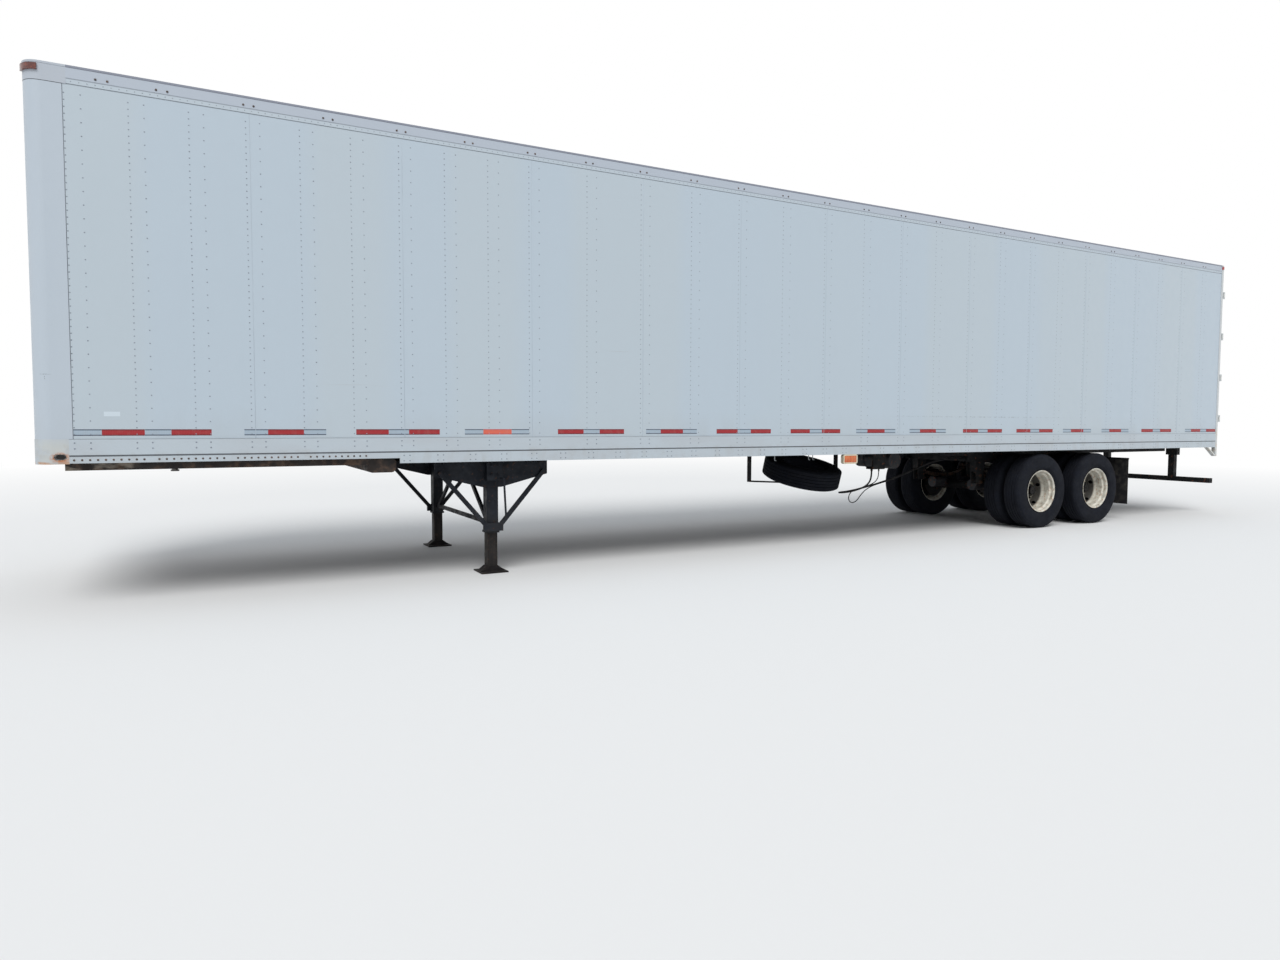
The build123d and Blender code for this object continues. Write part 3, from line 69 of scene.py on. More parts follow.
wheels = [(side, f"{label}_{number}", x) for side, label in ((-1, "road"), (1, "curb"))
          for number, x in enumerate(trailer["axleX"], start=1)]
towardRoad, towardCurb, upward = (0, -1, 0), (0, 1, 0), (0, 0, 1)
towardRear, towardNose = (1, 0, 0), (-1, 0, 0)


def clearPick():
    if bpy.context.mode != "OBJECT":
        bpy.ops.object.mode_set(mode="OBJECT")
    bpy.ops.object.select_all(action="DESELECT")


def pickMesh(action):  # goes into the mesh and picks all of it or nothing
    bpy.ops.object.mode_set(mode="EDIT")
    bpy.ops.mesh.select_all(action=action)


def settle(piece):  # the place goes into the mesh, the object stays at the origin
    clearPick()
    piece.select_set(True)
    bpy.context.view_layer.objects.active = piece
    bpy.ops.object.transform_apply(location=True, rotation=True, scale=True)
    return piece


def applyModifier(piece, kind, **settings):
    settle(piece)
    modifier = piece.modifiers.new(kind.lower(), kind)
    for key, value in settings.items():
        setattr(modifier, key, value)
    bpy.ops.object.modifier_apply(modifier=modifier.name)
    return piece


def softBlock(name, low, high, edge=0.002, rounds=2):  # a bar or plate with softened edges
    clearPick()
    bpy.ops.mesh.primitive_cube_add(size=1, location=[(a + b) / 2 for a, b in zip(low, high)])
    piece = bpy.context.active_object
    piece.name = name
    piece.scale = [b - a for a, b in zip(low, high)]
    return applyModifier(piece, "BEVEL", width=edge, segments=rounds, limit_method="ANGLE")


def turned(name, profile, sides=48, closed=True):  # rings of (radius, height) drawn out round the Z axis
    clearPick()
    radius, height = profile[0]
    bpy.ops.mesh.primitive_circle_add(vertices=sides, radius=radius, location=(0, 0, height))
    piece = settle(bpy.context.active_object)
    piece.name = name
    pickMesh("SELECT")
    for nextRadius, nextHeight in profile[1:]:
        bpy.ops.mesh.extrude_edges_move(TRANSFORM_OT_translate={"value": (0, 0, nextHeight - height)})
        grow = nextRadius / radius
        bpy.ops.transform.resize(value=(grow, grow, 1), center_override=(0, 0, nextHeight))
        radius, height = nextRadius, nextHeight
    pickMesh("SELECT")
    bpy.ops.mesh.remove_doubles(threshold=0.00002)
    if closed:
        pickMesh("DESELECT")
        bpy.ops.mesh.select_mode(type="EDGE")
        bpy.ops.mesh.select_non_manifold(extend=False)
        bpy.ops.mesh.edge_face_add()
        bpy.ops.mesh.select_mode(type="VERT")
    return faceOut(piece)


def faceOut(piece):  # turns every face of the mesh outwards
    pickMesh("SELECT")
    bpy.ops.mesh.normals_make_consistent(inside=False)
    bpy.ops.object.mode_set(mode="OBJECT")
    return piece


def layAlong(piece, direction, place):  # turns a piece made about Z to a direction and sets it at a place
    piece.rotation_mode = "QUATERNION"
    piece.rotation_quaternion = Vector(direction).to_track_quat("Z", "Y")
    piece.location = place
    return settle(piece)


def copyOf(piece, name):
    twin = piece.copy()
    twin.data = piece.data.copy()
    twin.name = name
    bpy.context.scene.collection.objects.link(twin)
    return twin


def rowOf(piece, count, step):
    return applyModifier(piece, "ARRAY", count=count, use_relative_offset=False,
                         use_constant_offset=True, constant_offset_displace=step)


def joined(name, pieces):
    clearPick()
    for piece in pieces:
        piece.select_set(True)
    bpy.context.view_layer.objects.active = pieces[0]
    if len(pieces) > 1:
        bpy.ops.object.join()
    pieces[0].name = name
    return pieces[0]


def fitOut(name, pieces, finish, body="trailer", crease=35):
    piece = settle(joined(name, pieces))
    bpy.ops.object.shade_smooth_by_angle(angle=math.radians(crease))
    piece.data.materials.clear()
    piece.data.materials.append(finish)
    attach(piece, body)
    return piece


def fitBoth(name, pieces, finish):  # joins the road side's pieces and gives the curb side the same
    road = joined(name + "Road", pieces)
    curb = copyOf(road, "twin")
    curb.scale = (1, -1, 1)
    faceOut(settle(curb))
    fitOut(name + "Road", [road], finish)
    fitOut(name + "Curb", [curb], finish)


# finishes: every one is built from layers of noise and masks on the piece's own coordinates

def tone(colour):  # red, green and blue as they look, 0 to 255
    shares = [value / 255 for value in colour]
    return (*(x / 12.92 if x <= 0.04045 else ((x + 0.055) / 1.055) ** 2.4 for x in shares), 1.0)


def addNode(tree, kind, inputs, output=0, **settings):
    node = tree.nodes.new("ShaderNode" + kind)
    for key, value in settings.items():
        setattr(node, key, value)
    for key, value in inputs.items():
        if isinstance(value, bpy.types.NodeSocket):
            tree.links.new(value, node.inputs[key])
        else:
            node.inputs[key].default_value = value
    return node.outputs[output]


def merged(tree, operation, values):  # one value made from several
    total = values[0]
    for value in values[1:]:
        total = addNode(tree, "Math", {0: total, 1: value}, operation=operation)
    return total


def remap(tree, value, low, high, outLow=0.0, outHigh=1.0):
    return addNode(tree, "MapRange", {"Value": value, "From Min": low, "From Max": high,
                                      "To Min": outLow, "To Max": outHigh}, "Result")


def noise(tree, place, size, stretch=(1, 1, 1), detail=4.0, shift=(0, 0, 0)):
    moved = addNode(tree, "Mapping", {"Vector": place, "Location": shift,
                                      "Scale": [1 / (size * share) for share in stretch]})
    return addNode(tree, "TexNoise", {"Vector": moved, "Scale": 1.0, "Detail": detail}, "Fac")


def band(tree, place, axis, low, high, fade):  # 1 between two places along an axis, or out to both sides
    value = addNode(tree, "SeparateXYZ", {0: place}, "Y" if axis == "sides" else axis)
    if axis == "sides":
        value = addNode(tree, "Math", {0: value}, operation="ABSOLUTE")
    edges = [remap(tree, value, low - fade, low), remap(tree, value, high + fade, high)]
    return merged(tree, "MULTIPLY", edges)


def spot(tree, place, centre, radius, fade):  # 1 near a point, stretched by the radius on each axis
    away = addNode(tree, "VectorMath", {0: place, 1: centre}, operation="SUBTRACT")
    share = addNode(tree, "VectorMath", {0: away, 1: radius}, operation="DIVIDE")
    return remap(tree, addNode(tree, "VectorMath", {0: share}, "Value", operation="LENGTH"), 1.0, 1.0 - fade)


def blendColour(tree, factor, below, above):
    return addNode(tree, "Mix", {0: factor, 6: below, 7: above}, 2, data_type="RGBA")


def layer(colour, size=None, low=0.45, high=0.6, amount=1.0, x=None, y=None, z=None, sides=None, spots=(),
          **grain):
    def lay(tree, place, below):  # this colour over what lies below, as far as the masks let it through
        masks = [remap(tree, noise(tree, place, size, **grain), low, high)] if size else []
        for axis, ends in (("X", x), ("Y", y), ("Z", z), ("sides", sides)):
            if ends:
                masks.append(band(tree, place, axis, *ends))
        if spots:
            masks.append(merged(tree, "MAXIMUM", [spot(tree, place, *item) for item in spots]))
        return blendColour(tree, merged(tree, "MULTIPLY", masks + [amount]), below, tone(colour))
    return lay


def worn(name, colour, layers, roughness=(0.35, 0.55), metallic=0.0, bumps=((0.02, 0.2, 0.001),), coat=0.0,
         gloss=0.5, clear=0.0):
    material = bpy.data.materials.new(name)
    material.use_nodes = True
    tree = material.node_tree
    shader = tree.nodes["Principled BSDF"]
    place = addNode(tree, "TexCoord", {}, "Object")
    for key, value in (("Metallic", metallic), ("Specular IOR Level", gloss), ("Coat Weight", coat),
                       ("Transmission Weight", clear)):
        shader.inputs[key].default_value = value
    paint = tone(colour)
    for lay in layers:
        paint = lay(tree, place, paint)
    sheen = remap(tree, noise(tree, place, 0.11, detail=3.0), 0.35, 0.65, *roughness)
    relief = {}
    for size, strength, depth in bumps:
        height = noise(tree, place, size, detail=3.0)
        relief.update({"Strength": strength, "Distance": depth, "Height": height})
        relief["Normal"] = addNode(tree, "Bump", relief)
    for key, value in (("Base Color", paint), ("Roughness", sheen), ("Normal", relief["Normal"])):
        tree.links.new(value, shader.inputs[key])
    return material


dirt = (150, 143, 132)
rust = (112, 66, 42)
paleRust = (176, 128, 88)
# dark soot; the same colour also fills the lifting holes as painted shade
sootAndHoleShade = (36, 36, 38)
white = (175, 188, 199)
liningWood = (172, 142, 104)
streaks = layer((172, 184, 195), 0.12, 0.5, 0.75, 0.15, stretch=(1, 1, 14))
patches = layer((176, 189, 200), 1.6, 0.4, 0.7, 0.35)
lowGrime = layer(dirt, 0.2, 0.3, 0.75, 0.18, stretch=(1, 1, 3), z=(1.0, 1.36, 0.25))

# a band has its two ends and a fade, a spot has a middle, a reach and a fade
inLining, cornerLamps, connectorFaces = (0.0, 1.262, 0.001), (3.5, 5.0, 0.01), (-9.0, -8.085, 0.001)
scuffs = [((2.4, -1.29, 1.57), (2.2, 0.3, 0.012), 0.8)]
scratches = [((-5.45, -1.29, 1.795), (0.62, 0.3, 0.012), 0.6),
             ((-3.20, -1.29, 2.205), (0.22, 0.3, 0.008), 0.6)]
cornerMarks = [((-7.975, -1.27, 1.822), (0.045, 0.3, 0.003), 0.5),
               ((-7.978, -1.27, 1.80), (0.003, 0.3, 0.03), 0.5)]
liftingHoles = [((-7.897, y, 1.198), (0.044, 0.05, 0.026), 0.15) for y in (-1.29, 1.29)]
holeRims = [(middle, (0.052, 0.05, 0.033), 0.3) for middle, reach, fade in liftingHoles]
holeStains = [((-7.897, y, 1.192), (0.075, 0.02, 0.05), 0.5) for y in (-1.2955, 1.2955)]
wheelMiddles = [((x, side * 0.99, trailer["axleZ"]), (0.205, 0.075, 0.205), 0.15) for side, name, x in wheels]

sideSheet = worn("sideSheet", white, [
    patches, streaks, lowGrime,
    layer((178, 188, 194), 1.2192, 0.47, 0.53, 0.45, stretch=(1, 90, 90), detail=0.0),
    layer(liningWood, sides=inLining),
    layer((140, 110, 76), 0.03, 0.45, 0.62, 0.6, stretch=(12, 1, 1), sides=inLining),
    layer((120, 126, 134), 0.012, 0.5, 0.6, 0.55, stretch=(1, 1, 3), spots=scuffs),
    layer((168, 174, 180), 0.05, 0.52, 0.6, 0.6, stretch=(16, 1, 0.4), spots=scratches),
    layer((198, 210, 219), amount=0.8, x=(-7.612, -7.508, 0.002), y=(-1.4, -1.2, 0.01),
          z=(1.512, 1.545, 0.002)),
], roughness=(0.34, 0.5), bumps=((0.5, 0.12, 0.004), (0.008, 0.05, 0.0003)), coat=0.2)
nosePaint = worn("nosePaint", white, [
    patches, streaks, lowGrime,
    layer(liningWood, x=(-8.035, 9.0, 0.001)),
], roughness=(0.34, 0.5), bumps=((0.35, 0.25, 0.006),), coat=0.2)
cornerPaint = worn("cornerPaint", (177, 187, 197), [
    streaks, lowGrime,
    layer((70, 74, 80), 0.006, 0.46, 0.56, 0.8, spots=cornerMarks),
    # painted shadow under the top rail's lower lip, together with the dark sealant line there
    layer((44, 46, 54), amount=0.9, z=(3.9735, 4.0, 0.0008)),
    layer(liningWood, sides=(0.0, 1.2482, 0.0005), x=(-8.0175, 9.0, 0.0005)),
], roughness=(0.35, 0.5), bumps=((0.1, 0.15, 0.003),))
castingPaint = worn("castingPaint", (178, 186, 193), [
    streaks,
    layer((166, 172, 184), amount=0.5, z=(3.97, 4.2, 0.001)),
    layer((194, 190, 172), 0.12, 0.35, 0.6, 0.4, z=(1.0, 1.25, 0.12)),
    layer(dirt, 0.09, 0.45, 0.7, 0.35, z=(1.0, 1.3, 0.1)),
    layer(paleRust, 0.05, 0.44, 0.6, 0.8, stretch=(3, 1, 1), z=(1.0, 1.158, 0.012)),
    layer((172, 106, 58), 0.02, 0.32, 0.52, 0.9, spots=holeStains),
    layer((92, 54, 36), 0.012, 0.45, 0.55, 0.9, spots=holeRims),
    # painted shade: the insides of the lifting holes are filled dark where the hollow lies in shade
    layer(sootAndHoleShade, sides=(0.0, 1.2925, 0.0008), spots=liftingHoles),
], bumps=((0.012, 0.35, 0.0015),))
topRailPaint = worn("topRailPaint", (178, 189, 198), [
    streaks,
    layer((166, 172, 186), amount=0.5, z=(4.022, 4.2, 0.002)),
    # painted shade: the drip edge along the top is darkened as if in shadow
    layer((118, 122, 136), amount=0.85, z=(4.098, 4.2, 0.004)),
    # painted shadow: a thin darker line at the step in the rail face
    layer((150, 158, 168), amount=0.8, z=(4.014, 4.021, 0.002)),
    # painted shadow under the rail's lower lip, together with the dark sealant line there
    layer((66, 70, 80), amount=0.85, z=(3.9, 3.9815, 0.001)),
], bumps=((0.3, 0.15, 0.003),))
bottomRailPaint = worn("bottomRailPaint", (177, 187, 195), [
    layer((172, 178, 184), 0.25, 0.42, 0.65, 0.6, stretch=(3, 1, 1)),
    layer(dirt, 0.08, 0.48, 0.7, 0.18, stretch=(1, 1, 2), z=(1.0, 1.22, 0.03)),
    # painted shadow: a dark line along the rail's top edge where the wall meets it
    layer((70, 74, 82), amount=0.7, z=(1.3325, 1.4, 0.0008)),
    # painted shade in the groove along the rail
    layer((70, 74, 80), amount=0.85, z=(1.2, 1.212, 0.001)),
    layer((158, 160, 162), sides=(0.0, 1.2875, 0.0005)),
], bumps=((0.2, 0.2, 0.003),))
rearFramePaint = worn("rearFramePaint", (190, 194, 196), [
    streaks,
    layer((196, 188, 168), 0.2, 0.4, 0.7, 0.7, z=(1.0, 1.34, 0.1)),
    layer(paleRust, 0.05, 0.58, 0.68, 0.7, z=(1.0, 1.3, 0.1)),
], bumps=((0.05, 0.2, 0.002),))
roofAluminium = worn("roofAluminium", (176, 180, 184), [
    layer((140, 144, 148), 0.5, 0.42, 0.68, 0.6, stretch=(1, 6, 1)),
    layer(dirt, 0.9, 0.5, 0.75, 0.4),
], roughness=(0.38, 0.6), metallic=0.75, bumps=((0.6, 0.3, 0.01),))
galvanised = worn("galvanised", (158, 162, 164), [
    layer((126, 130, 132), 0.02, 0.42, 0.62, 0.6),
    layer(rust, 0.05, 0.64, 0.7, 0.6),
], roughness=(0.35, 0.6), metallic=0.7, bumps=((0.01, 0.15, 0.0005),))
oakFloor = worn("oakFloor", (150, 112, 72), [
    layer((104, 74, 46), 0.03, 0.4, 0.62, 0.8, stretch=(20, 1, 1)),
    layer((176, 140, 96), 0.035, 0.5, 0.6, 0.7, stretch=(40, 1, 1), shift=(3, 1, 0)),
    layer(sootAndHoleShade, 0.3, 0.55, 0.8, 0.4),
    layer((52, 44, 38), amount=0.9, z=(1.0, 1.2135, 0.001)),
], bumps=((0.01, 0.3, 0.0008),))
blackFrame = worn("blackFrame", (21, 23, 26), [
    layer((42, 41, 40), 0.07, 0.45, 0.7, 0.6),
    layer(rust, 0.05, 0.6, 0.68, 0.5),
    layer((60, 57, 54), 0.25, 0.5, 0.75, 0.3),
], roughness=(0.55, 0.8), bumps=((0.008, 0.4, 0.0008),), gloss=0.2)
couplerSteel = worn("couplerSteel", (48, 43, 41), [
    layer((92, 74, 62), 0.08, 0.45, 0.62, 0.8),
    layer((150, 140, 128), 0.05, 0.45, 0.58, 0.7, stretch=(3, 1, 1), x=(-9.0, -7.45, 0.15)),
    layer((44, 42, 42), 0.15, 0.5, 0.62, 0.8),
], roughness=(0.5, 0.85), bumps=((0.006, 0.5, 0.0008),), gloss=0.2)
bareSteel = worn("bareSteel", (120, 118, 116), [
    layer((52, 46, 42), 0.03, 0.4, 0.6, 0.8),
], roughness=(0.3, 0.6), metallic=0.8, bumps=((0.004, 0.3, 0.0004),))
legPaint = worn("legPaint", (21, 25, 32), [
    layer((38, 42, 49), 0.06, 0.45, 0.68, 0.6),
    layer((70, 48, 36), 0.035, 0.62, 0.68, 0.5),
    layer((58, 56, 54), 0.1, 0.4, 0.7, 0.4, z=(0.0, 0.55, 0.2)),
], roughness=(0.45, 0.75), bumps=((0.008, 0.35, 0.0008),), gloss=0.2)
slideSteel = worn("slideSteel", (44, 41, 40), [
    layer((30, 29, 30), 0.05, 0.42, 0.6, 0.8, stretch=(1, 1, 4)),
    layer((66, 54, 46), 0.03, 0.55, 0.65, 0.7),
], roughness=(0.45, 0.75), metallic=0.3, bumps=((0.006, 0.35, 0.0006),), gloss=0.2)
shoeSteel = worn("shoeSteel", (27, 25, 26), [
    layer((54, 47, 42), 0.05, 0.5, 0.7, 0.6),
], roughness=(0.6, 0.85), bumps=((0.006, 0.4, 0.0008),), gloss=0.2)
rustySteel = worn("rustySteel", (52, 44, 39), [
    layer((86, 58, 42), 0.04, 0.44, 0.6, 0.8),
    layer((92, 86, 80), 0.07, 0.54, 0.7, 0.5),
], roughness=(0.6, 0.9), bumps=((0.006, 0.5, 0.001),), gloss=0.2)
greyTank = worn("greyTank", (44, 46, 51), [
    layer((68, 67, 66), 0.1, 0.45, 0.7, 0.6),
    layer(rust, 0.04, 0.6, 0.68, 0.6),
], bumps=((0.01, 0.2, 0.0006),), gloss=0.2)
# black rubber; the same colour also fills the locking holes of the slide rails as painted shade
blackRubberAndHoleShade = worn("blackRubberAndHoleShade", (34, 34, 36), [
    layer((82, 79, 74), 0.08, 0.45, 0.75, 0.6),
], roughness=(0.6, 0.85), bumps=((0.005, 0.3, 0.0005),), gloss=0.2)
tyreRubber = worn("tyreRubber", (15, 18, 26), [
    layer((25, 29, 39), 0.14, 0.42, 0.75, 0.55),
    layer((52, 51, 50), 0.03, 0.54, 0.75, 0.2),
], roughness=(0.8, 0.95), bumps=((0.004, 0.3, 0.0005),), gloss=0.2)
rimPaint = worn("rimPaint", (206, 203, 192), [
    layer((160, 154, 140), 0.06, 0.45, 0.68, 0.7),
    layer(paleRust, 0.03, 0.58, 0.66, 0.6),
    layer((90, 86, 80), 0.12, 0.55, 0.75, 0.5),
    # partly grease, partly painted shade: the deep band of the barrel between disc and rim is darkened
    layer((26, 24, 23), amount=0.93, sides=(0.9, 1.075, 0.02)),
    layer((150, 146, 130), 0.07, 0.36, 0.5, spots=wheelMiddles),
    # partly grease, partly painted shade: dark patches over the recessed disc round the hub
    layer((24, 22, 21), 0.05, 0.56, 0.62, 0.9, spots=wheelMiddles),
], bumps=((0.01, 0.25, 0.0008),))
hubGrease = worn("hubGrease", (9, 9, 10), [
    layer((22, 19, 17), 0.03, 0.42, 0.65, 0.8),
    layer((52, 36, 28), 0.02, 0.62, 0.7, 0.5),
], roughness=(0.3, 0.7), bumps=((0.006, 0.5, 0.0012),), gloss=0.2)
doorSkin = worn("doorSkin", (186, 196, 205), [
    patches, streaks, lowGrime,
    layer(liningWood, x=(-9.0, 8.045, 0.001)),
], bumps=((0.3, 0.2, 0.004),), coat=0.2)
# grey of the rivet heads, darker than their own metal: dirt round each head and painted shade standing in for
# its small shadow
rivetGreyDirtAndShade = worn("rivetGreyDirtAndShade", (136, 144, 154), [
    layer((112, 118, 128), 0.3, 0.45, 0.65, 0.6),
], roughness=(0.3, 0.5), metallic=0.2)
hoseRubber = worn("hoseRubber", (27, 27, 29), [
    layer((64, 61, 58), 0.05, 0.48, 0.72, 0.5),
], roughness=(0.5, 0.75), bumps=((0.004, 0.2, 0.0003),), gloss=0.2)
doorSteel = worn("doorSteel", (158, 162, 164), [
    layer((126, 130, 132), 0.02, 0.42, 0.62, 0.6),
    layer((206, 208, 206), sides=(1.0, 1.4, 0.002)),
    layer(rust, 0.04, 0.64, 0.7, 0.6),
], roughness=(0.4, 0.6), metallic=0.3, bumps=((0.01, 0.15, 0.0005),))
connectorMetal = worn("connectorMetal", (150, 153, 156), [
    layer((118, 120, 122), 0.02, 0.42, 0.62, 0.6),
    layer((150, 34, 32), x=connectorFaces, y=(0.07, 0.4, 0.002)),
    layer((34, 66, 132), x=connectorFaces, y=(-0.4, -0.07, 0.002)),
], roughness=(0.4, 0.6), metallic=0.3, bumps=((0.01, 0.15, 0.0005),))
rustyBolt = worn("rustyBolt", (92, 74, 66), [
    layer((56, 50, 48), 0.2, 0.4, 0.6, 0.8),
], roughness=(0.5, 0.8))
seamShadow = worn("seamShadow", (96, 101, 110), [
    layer((70, 74, 82), 0.08, 0.4, 0.65, 0.7, stretch=(1, 1, 5)),
], roughness=(0.6, 0.8))
sealant = worn("sealant", (172, 184, 194), [
    layer((158, 169, 180), 0.06, 0.4, 0.65, 0.7, stretch=(1, 1, 6)),
], roughness=(0.5, 0.7))


def cells(amount, grid=90.0):  # the small sealed cells of reflecting tape
    def lay(tree, place, below):
        edge = addNode(tree, "TexVoronoi", {"Vector": place, "Scale": grid, "Randomness": 0.0}, "Distance",
                       feature="DISTANCE_TO_EDGE")
        factor = merged(tree, "MULTIPLY", [remap(tree, edge, 0.06, 0.02), amount])
        return blendColour(tree, factor, below, tone((235, 238, 242)))
    return lay


def tapeFinish(name, middle, edge, cellAmount):  # darker along its edges
    return worn(name, middle, [
        layer(edge, amount=0.95, z=(0.0, 1.3675, 0.002)),
        layer(edge, amount=0.95, z=(1.4025, 9.0, 0.002)),
        layer(dirt, 0.05, 0.5, 0.75, 0.12),
        cells(cellAmount),
    ], roughness=(0.3, 0.5))


whiteTape = tapeFinish("whiteTape", (152, 168, 182), (50, 62, 82), 0.15)
redTape = tapeFinish("redTape", (150, 12, 24), (96, 10, 24), 0.06)
fadedTape = tapeFinish("fadedTape", (206, 92, 70), (176, 74, 74), 0.1)


def lensFinish(name, colour, glow, aged=()):
    return worn(name, colour, [
        layer(glow, 0.01, 0.42, 0.6, 0.7, stretch=(1, 6, 6)),
        *aged,
    ], roughness=(0.12, 0.25), bumps=((0.004, 0.5, 0.001),), coat=0.6, clear=0.15)


agedMarkers = (  # the lamps on the front corners have gone a dark red brown
    layer((92, 38, 30), z=cornerLamps),
    layer((136, 66, 46), 0.02, 0.5, 0.62, 0.6, z=cornerLamps),
    layer((196, 186, 162), z=(0.9, 1.2, 0.01), sides=(0.0, 1.2895, 0.0005)),
)
amberLens = lensFinish("amberLens", (198, 84, 36), (226, 132, 62), agedMarkers)
paleBezel = worn("paleBezel", (206, 196, 172), [
    layer((150, 138, 116), 0.02, 0.5, 0.7, 0.5),
], roughness=(0.4, 0.6))
rearWhiteTape = worn("rearWhiteTape", (190, 204, 214), [
    layer(dirt, 0.05, 0.5, 0.75, 0.25),
], roughness=(0.3, 0.5))
rearRedTape = worn("rearRedTape", (178, 24, 28), [
    layer((120, 16, 28), 0.05, 0.5, 0.75, 0.4),
], roughness=(0.3, 0.5))
redLens = lensFinish("redLens", (150, 18, 22), (206, 44, 40))

nodesOf = {  # where each finish is laid on the frame
    sideSheet: "side_wall_road side_wall_curb", nosePaint: "front_wall", cornerPaint: "corner_posts",
    castingPaint: "corner_castings front_sill", topRailPaint: "top_rails", bottomRailPaint: "bottom_rails",
    roofAluminium: "roof_sheet", galvanised: "roof_bows", oakFloor: "floor", couplerSteel: "coupler",
    bareSteel: "kingpin", rearFramePaint: "rear_posts rear_header_sill", doorSkin: "door_road door_curb",
    doorSteel: "door_gear_road door_gear_curb", legPaint: "leg_tubes leg_braces leg_tie_frame leg_drive",
    slideSteel: "leg_slides", shoeSteel: "leg_shoes", rustySteel: "leaf_springs equalizers",
    greyTank: "brake_chambers air_tank", blackRubberAndHoleShade: "dock_bumpers mud_flaps", amberLens: "amber_lamps",
    redLens: "red_lamps", connectorMetal: "nose_connectors", hoseRubber: "hose_supply hose_service",
    tyreRubber: "spare_tyre tyres_road_1 tyres_road_2 tyres_curb_1 tyres_curb_2",
    rimPaint: "rims_road_1 rims_road_2 rims_curb_1 rims_curb_2",
    hubGrease: "hub_road_1 hub_road_2 hub_curb_1 hub_curb_2",
    blackFrame: "crossmembers spring_hangers radius_rods axles slide_rails bogie_frame mud_flap_bars "
                "rear_guard spare_carrier hose_fittings",
}
for finish, nodes in nodesOf.items():
    for node in nodes.split():
        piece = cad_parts[node]
        piece.data.materials.clear()
        piece.data.materials.append(finish)
print("finishes laid on the frame")

# the two air hoses that hang in loops and run back to the bogie, by their points from the nose
supplyHose = {"diameter": 0.022, "length": 3.081, "points": (
    (9.01, -0.62, 0.84), (9.01, -0.62, 0.74), (8.93, -0.628, 0.655), (8.8, -0.636, 0.612),
    (8.65, -0.64, 0.583), (8.579, -0.569, 0.566), (8.579, -0.468, 0.556), (8.65, -0.397, 0.553),
    (8.79, -0.39, 0.558), (9.0, -0.392, 0.586), (9.26, -0.398, 0.634), (9.54, -0.404, 0.698),
    (9.83, -0.408, 0.776), (10.12, -0.411, 0.86), (10.4, -0.414, 0.93), (10.64, -0.416, 0.965),
    (10.79, -0.417, 0.972), (10.905, -0.417, 0.972),
)}
serviceHose = {"diameter": 0.012, "length": 3.146, "points": (
    (9.1, -0.66, 0.84), (9.1, -0.66, 0.77), (9.045, -0.663, 0.7), (8.94, -0.667, 0.66), (8.8, -0.668, 0.632),
    (8.665, -0.665, 0.606), (8.6, -0.659, 0.565), (8.578, -0.652, 0.5), (8.61, -0.645, 0.445),
    (8.678, -0.64, 0.432), (8.745, -0.634, 0.458), (8.81, -0.626, 0.52), (8.9, -0.617, 0.59),
    (9.03, -0.608, 0.64), (9.19, -0.6, 0.672), (9.36, -0.59, 0.702), (9.53, -0.58, 0.74), (9.7, -0.57, 0.786),
    (9.87, -0.56, 0.835), (10.04, -0.548, 0.888), (10.21, -0.535, 0.936), (10.38, -0.515, 0.968),
    (10.55, -0.495, 0.984), (10.695, -0.479, 0.99), (10.805, -0.475, 0.99), (10.905, -0.475, 0.99),
)}


def makeHose(name, node, s):
    curve = bpy.data.curves.new(name, "CURVE")
    curve.dimensions = "3D"
    curve.bevel_depth = s["diameter"] / 2
    curve.bevel_resolution = 5
    curve.use_fill_caps = True
    line = curve.splines.new("NURBS")
    line.points.add(len(s["points"]) - 1)
    for point, (x, y, z) in zip(line.points, s["points"]):
        point.co = (trailer["noseX"] + x, y, z, 1.0)
    line.order_u = 3
    line.use_endpoint_u = True
    line.resolution_u = 12
    hose = bpy.data.objects.new(name, curve)
    bpy.context.scene.collection.objects.link(hose)
    curve.materials.append(hoseRubber)
    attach(hose, "trailer")
    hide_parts(node)
    x, y, z = s["points"][0]


makeHose("supplyHoseLoop", "hose_supply", supplyHose)
makeHose("serviceHoseLoop", "hose_service", serviceHose)
print("hoses done")

# rivets and seams of the side walls
rivetSheet = {
    "radius": 0.0055, "rise": 0.0022, "sides": 8, "rings": 4, "low": 1.372, "high": 3.952,
    "closePitch": 0.0508, "widePitch": 0.1016, "columnGap": 0.104, "frontPosts": 10, "frontPitch": 0.4064,
    "rearPosts": 19, "rearPitch": 0.6096,
}


def rivetRow(radius, rise, direction, place, *rows):  # a low dome, repeated by each count and step
    s = rivetSheet
    clearPick()
    bpy.ops.mesh.primitive_uv_sphere_add(segments=s["sides"], ring_count=s["rings"], radius=1)
    head = bpy.context.active_object
    pickMesh("SELECT")
    bpy.ops.mesh.bisect(plane_co=(0, 0, 0), plane_no=(0, 0, 1), clear_inner=True, use_fill=True)
    pickMesh("SELECT")
    bpy.ops.transform.resize(value=(radius, radius, rise), center_override=(0, 0, 0))
    bpy.ops.object.mode_set(mode="OBJECT")
    layAlong(head, direction, place)
    for count, step in rows:
        rowOf(head, count, step)
    return head


def postRows():  # where the wall's posts stand: start, count and pitch ahead and behind
    s, start = rivetSheet, trailer["firstPostX"]
    rearStart = start + (s["frontPosts"] - 1) * s["frontPitch"] + s["rearPitch"]
    return (start, s["frontPosts"], s["frontPitch"]), (rearStart, s["rearPosts"], s["rearPitch"])


def makeWallRivets():
    s = rivetSheet
    pieces = []
    for pitch, gap in ((s["closePitch"], 0.0), (s["widePitch"], s["columnGap"])):
        count = int((s["high"] - s["low"]) / pitch) + 1
        for start, posts, step in postRows():
            place = (start + gap, -trailer["wallY"], s["low"])
            pieces.append(rivetRow(s["radius"], s["rise"], towardRoad, place, (count, (0, 0, pitch)),
                                   (posts, (step, 0, 0))))
    fitBoth("wallRivets", pieces, rivetGreyDirtAndShade)


makeWallRivets()

